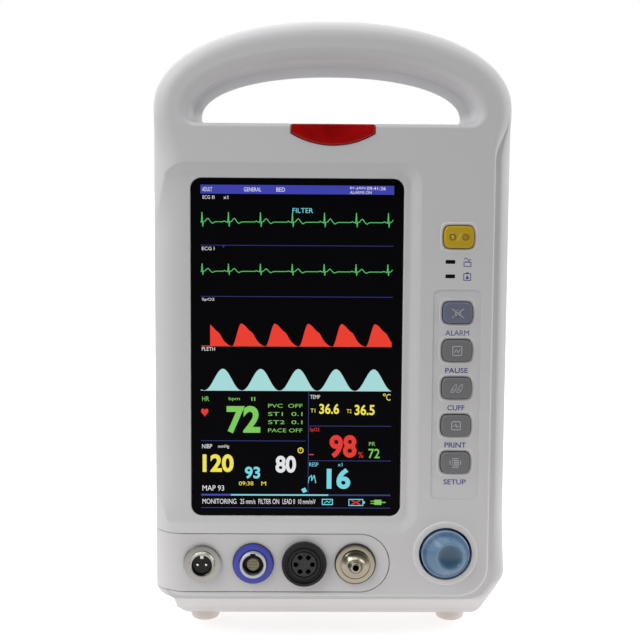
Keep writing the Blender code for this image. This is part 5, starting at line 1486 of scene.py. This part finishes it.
def spo2_connector(at):
    """Blue-ringed round socket with a pale contact carrier."""
    ring = [(6.6, -1.7), (6.8, -1.9), (8.7, -1.9), (9.15, -1.75), (9.4, -1.4), (9.4, -0.3), (6.6, -0.3)]
    made = turned("spo2_ring_skin", scaled(ring), at, 80, True, 0.08 * MM)
    done(made, BLUE, "case", ["spo2_ring"])
    barrel_profile = [(5.0, -4.2), (5.15, -4.4), (5.95, -4.4), (6.2, -4.2), (6.25, -3.9), (6.25, -3.0),
                      (6.1, -2.85),
                      (6.1, -2.6), (6.25, -2.45), (6.25, 12), (5.0, 12)]
    shell = turned("spo2_socket_skin", scaled(barrel_profile), at, 72, True, 0)
    combine(shell, [block("notch", (at[0] - 1.2 * MM, at[0] + 1.2 * MM), (-5 * MM, -1.5 * MM),
                          (at[1] + 4 * MM, at[1] + 5.75 * MM))])
    done(shell, SATIN, "case", ["spo2_socket"])
    # A black ring as painted shade around the flange.
    painted_shade_ring("spo2_painted_shade_ring", at, 9.45)
    base = turned("spo2_insert_skin", scaled([(0, 1.0), (4.7, 1.0), (4.7, 10), (0, 10)]), at, 56,
                  soft=0.1 * MM)
    done(base, DEEP_BLACK, "case", ["spo2_insert"])
    carrier = turned("spo2_carrier", scaled([(0, -2.6), (2.7, -2.6), (2.9, -2.4), (2.9, 1.2), (0, 1.2)]),
                     at, 48,
                     soft=0)
    dots = [(x * MM + at[0], z * MM + at[1]) for x in (-1.5, -0.5, 0.5, 1.5) for z in (-1.3, 0, 1.3)]
    combine(carrier, [rod("dot", 0.26 * MM, dot, -3.2 * MM, -1.2 * MM, 12, 0) for dot in dots])
    done(carrier, SAND, "case")


def ecg_connector(at):
    """Black ridged six-way round socket with its triangular key mark."""
    profile = [(6.2, -2.2), (6.35, -2.4), (7.5, -2.4), (7.75, -2.2), (7.9, -1.9), (8.9, -1.9),
               (9.05, -2.6), (9.2, -3.1),
               (9.4, -3.2), (10.2, -3.2), (10.5, -3.0), (10.6, -2.7), (10.6, -0.3), (8.5, -0.3), (8.5, 12),
               (6.2, 12)]
    shell = turned("ecg_socket_skin", scaled(profile), at, 88, True, 0)
    done(shell, DEEP_BLACK, "case", ["ecg_socket"])
    insert = turned("ecg_insert_skin", scaled([(0, -2.6), (5.6, -2.6), (5.85, -2.4), (5.9, -2.1),
                                               (5.9, 10), (0, 10)]),
                    at, 64, soft=0)
    holes = [turned("hole", scaled([(0, -4), (1.35, -4), (1.35, -2.8), (1.15, -2.45), (1.15, 4.5),
                                    (0, 4.5)]), hole,
                    24, soft=0) for hole in arc(at, 3.9 * MM, 0, 300, 5)]
    mark = around(at, (-0.8, 5.3), (0, 3.9), (0.8, 5.3))
    holes.append(slab("key", mark, -4 * MM, -2.2 * MM))
    combine(insert, holes)
    done(insert, CHARCOAL, "case", ["ecg_insert"])
    pins = [turned("pin", scaled([(0, 2.0), (0.4, 2.1), (0.55, 2.5), (0.55, 4.6), (0, 4.6)]), hole, 16,
                   soft=0)
            for hole in arc(at, 3.9 * MM, 0, 300, 5)]
    done(merge("ecg_contacts", pins), GOLD, "case")


def cuff_connector(at):
    """Nickel air fitting: a flange, a groove, a bell-shaped cone and the nozzle."""
    profile = [(1.4, -7.85), (1.5, -8), (1.95, -8), (2.2, -7.9), (2.4, -7.6), (2.55, -6.9), (2.8, -6.1),
               (3.2, -5.3),
               (3.8, -4.5), (4.6, -3.85), (5.5, -3.35), (6.2, -3.05), (6.5, -2.85), (6.6, -2.5), (6.6, -1.6),
               (7.0, -1.5), (7.15, -1.9), (8.8, -1.9), (9.15, -1.75), (9.3, -1.45), (9.3, -0.3), (5.2, -0.3),
               (5.2, 10), (3.0, 10), (2.4, 18), (1.4, 18)]
    made = turned("cuff_fitting_skin", scaled(profile), at, 88, True, 0)
    done(made, NICKEL, "case", ["cuff_fitting"])
    # A black ring as painted shade around the flange.
    painted_shade_ring("cuff_painted_shade_ring", at, 9.45)


# ---------------------------------------------------------------- inside, and the setting

def dress_inside():
    """Gives the CAD nodes that are shown as they are a finish of their own."""
    finishes = {
        BOARD: ("main_board", "parameter_board", "keypad_board", "alarm_board", "encoder_board"),
        BLUE_BOARD: ("power_supply",),
        SHEET: ("lcd_panel", "lcd_frame"),
        STEEL: ("air_pump_motor", "air_valve", "encoder_shaft", "encoder_body"),
        NICKEL: ("temp_nut", "spo2_nut", "ecg_nut", "cuff_nut"),
        BLACK: ("encoder_plunger",),
        PAPER: ("speaker",),
        PUMP_GREY: ("air_pump_head",),
        RIBBON: ("keypad_cable", "lcd_cable"),
        SILICONE: ("keypad_membrane",),
        HOSE: ("air_tube",),
        CELL_WRAP: ("battery_pack",),
    }
    for shown, names in finishes.items():
        for name in names:
            data = frame["nodes"][name].data
            data.materials.clear()
            data.materials.append(shown)


def floor():
    """A wide floor, nearly white to the camera; to all else it is grey and glows a little near the object."""
    bm = bmesh.new()
    bmesh.ops.create_grid(bm, x_segments=1, y_segments=1, size=30.0)
    made = add_object("floor", bm)
    pale = finish("floor_white", (246, 246, 246), 0.9, mottle=0.004, grain=(40.0, 0.0),
                  Specular_IOR_Level=0.0)
    tree = pale.node_tree
    shader = tree.nodes["Principled BSDF"]
    seen = node(tree, "LightPath").outputs["Is Camera Ray"]
    tree.links.new(blend(tree, seen, rgb(160, 160, 160), rgb(246, 246, 246)), shader.inputs["Base Color"])
    tree.links.new(blend(tree, seen, (1.0, 0.96, 0.93, 1.0), (1.0, 1.0, 1.0, 1.0)),
                   shader.inputs["Emission Color"])
    place = node(tree, "TexCoord").outputs["Object"]
    away = node(tree, "VectorMath", {0: place}, operation="LENGTH").outputs["Value"]
    lit = node(tree, "MapRange", {"Value": away, "From Min": 0.12, "From Max": 0.42, "To Min": 0.62,
                                  "To Max": 0.0},
               interpolation_type="SMOOTHSTEP").outputs["Result"]
    glow = node(tree, "Mix", {"Factor": seen, "A": lit, "B": 0.45}, data_type="FLOAT").outputs["Result"]
    tree.links.new(glow, shader.inputs["Emission Strength"])
    made.data.materials.append(pale)


def sky():
    """White surroundings: the camera sees plain white, the object less light from its front."""
    world = bpy.data.worlds.new("studio")
    bpy.context.scene.world = world
    world.use_nodes = True
    tree = world.node_tree
    heading = node(tree, "SeparateXYZ", {0: node(tree, "TexCoord").outputs["Generated"]}).outputs
    front = node(tree, "MapRange", {"Value": heading["Y"], "From Min": 0.12, "From Max": -0.85,
                                    "To Min": 1.08,
                                    "To Max": 0.04}, interpolation_type="SMOOTHSTEP").outputs["Result"]
    seen = node(tree, "LightPath").outputs["Is Camera Ray"]
    level = node(tree, "Mix", {"Factor": seen, "A": front, "B": 1.0}, data_type="FLOAT").outputs["Result"]
    background = tree.nodes["Background"]
    background.inputs["Color"].default_value = (1.0, 1.0, 1.0, 1.0)
    tree.links.new(level, background.inputs["Strength"])


def lamp(name, at, towards, size, power, tint=(1.0, 1.0, 1.0)):
    """A soft rectangular light."""
    light = bpy.data.lights.new(name, "AREA")
    light.shape, light.size, light.size_y, light.energy, light.color = "RECTANGLE", *size, power, tint
    made = bpy.data.objects.new(name, light)
    bpy.context.scene.collection.objects.link(made)
    made.location = at
    made.rotation_euler = (Vector(towards) - Vector(at)).to_track_quat("-Z", "Y").to_euler()
    made.visible_camera = False


def camera():
    """The view: nearly square on, a little above the middle and looking slightly down."""
    lens = bpy.data.cameras.new("camera")
    lens.sensor_width, lens.lens = 36.0, 73.8
    made = bpy.data.objects.new("camera", lens)
    bpy.context.scene.collection.objects.link(made)
    made.location = (-0.0138, FACE_Y - 0.6054, 0.2180)
    heading = Vector((0.0138, 0.9946, -0.1032)).to_track_quat("-Z", "Y").to_matrix()
    made.rotation_euler = (heading @ Matrix.Rotation(math.radians(0.387), 3, "Z")).to_euler()
    bpy.context.scene.camera = made


def main():
    front_case()
    rear_case()
    battery_door()
    mains_inlet()
    network_socket()
    earth_post()
    case_screws()
    feet()
    display_window()
    screen()
    keys()
    lights()
    knob()
    temp_connector(SOCKETS["temp"])
    spo2_connector(SOCKETS["spo2"])
    ecg_connector(SOCKETS["ecg"])
    cuff_connector(SOCKETS["cuff"])
    dress_inside()
    floor()
    sky()
    lamp("left_light", (-0.56, -0.42, 0.6), (0, 0, 0.18), (0.5, 0.5), 2.0)
    lamp("right_light", (0.85, -0.1, 0.4), (0, 0, 0.16), (0.6, 0.8), 2.0)
    lamp("top_light", (-0.2, -0.1, 1.3), (0, 0, 0.2), (1.2, 1.0), 3.6)
    camera()
    bpy.context.scene.view_settings.view_transform = "Standard"


def corners(low, high):
    return [list(low), list(high)]


main()
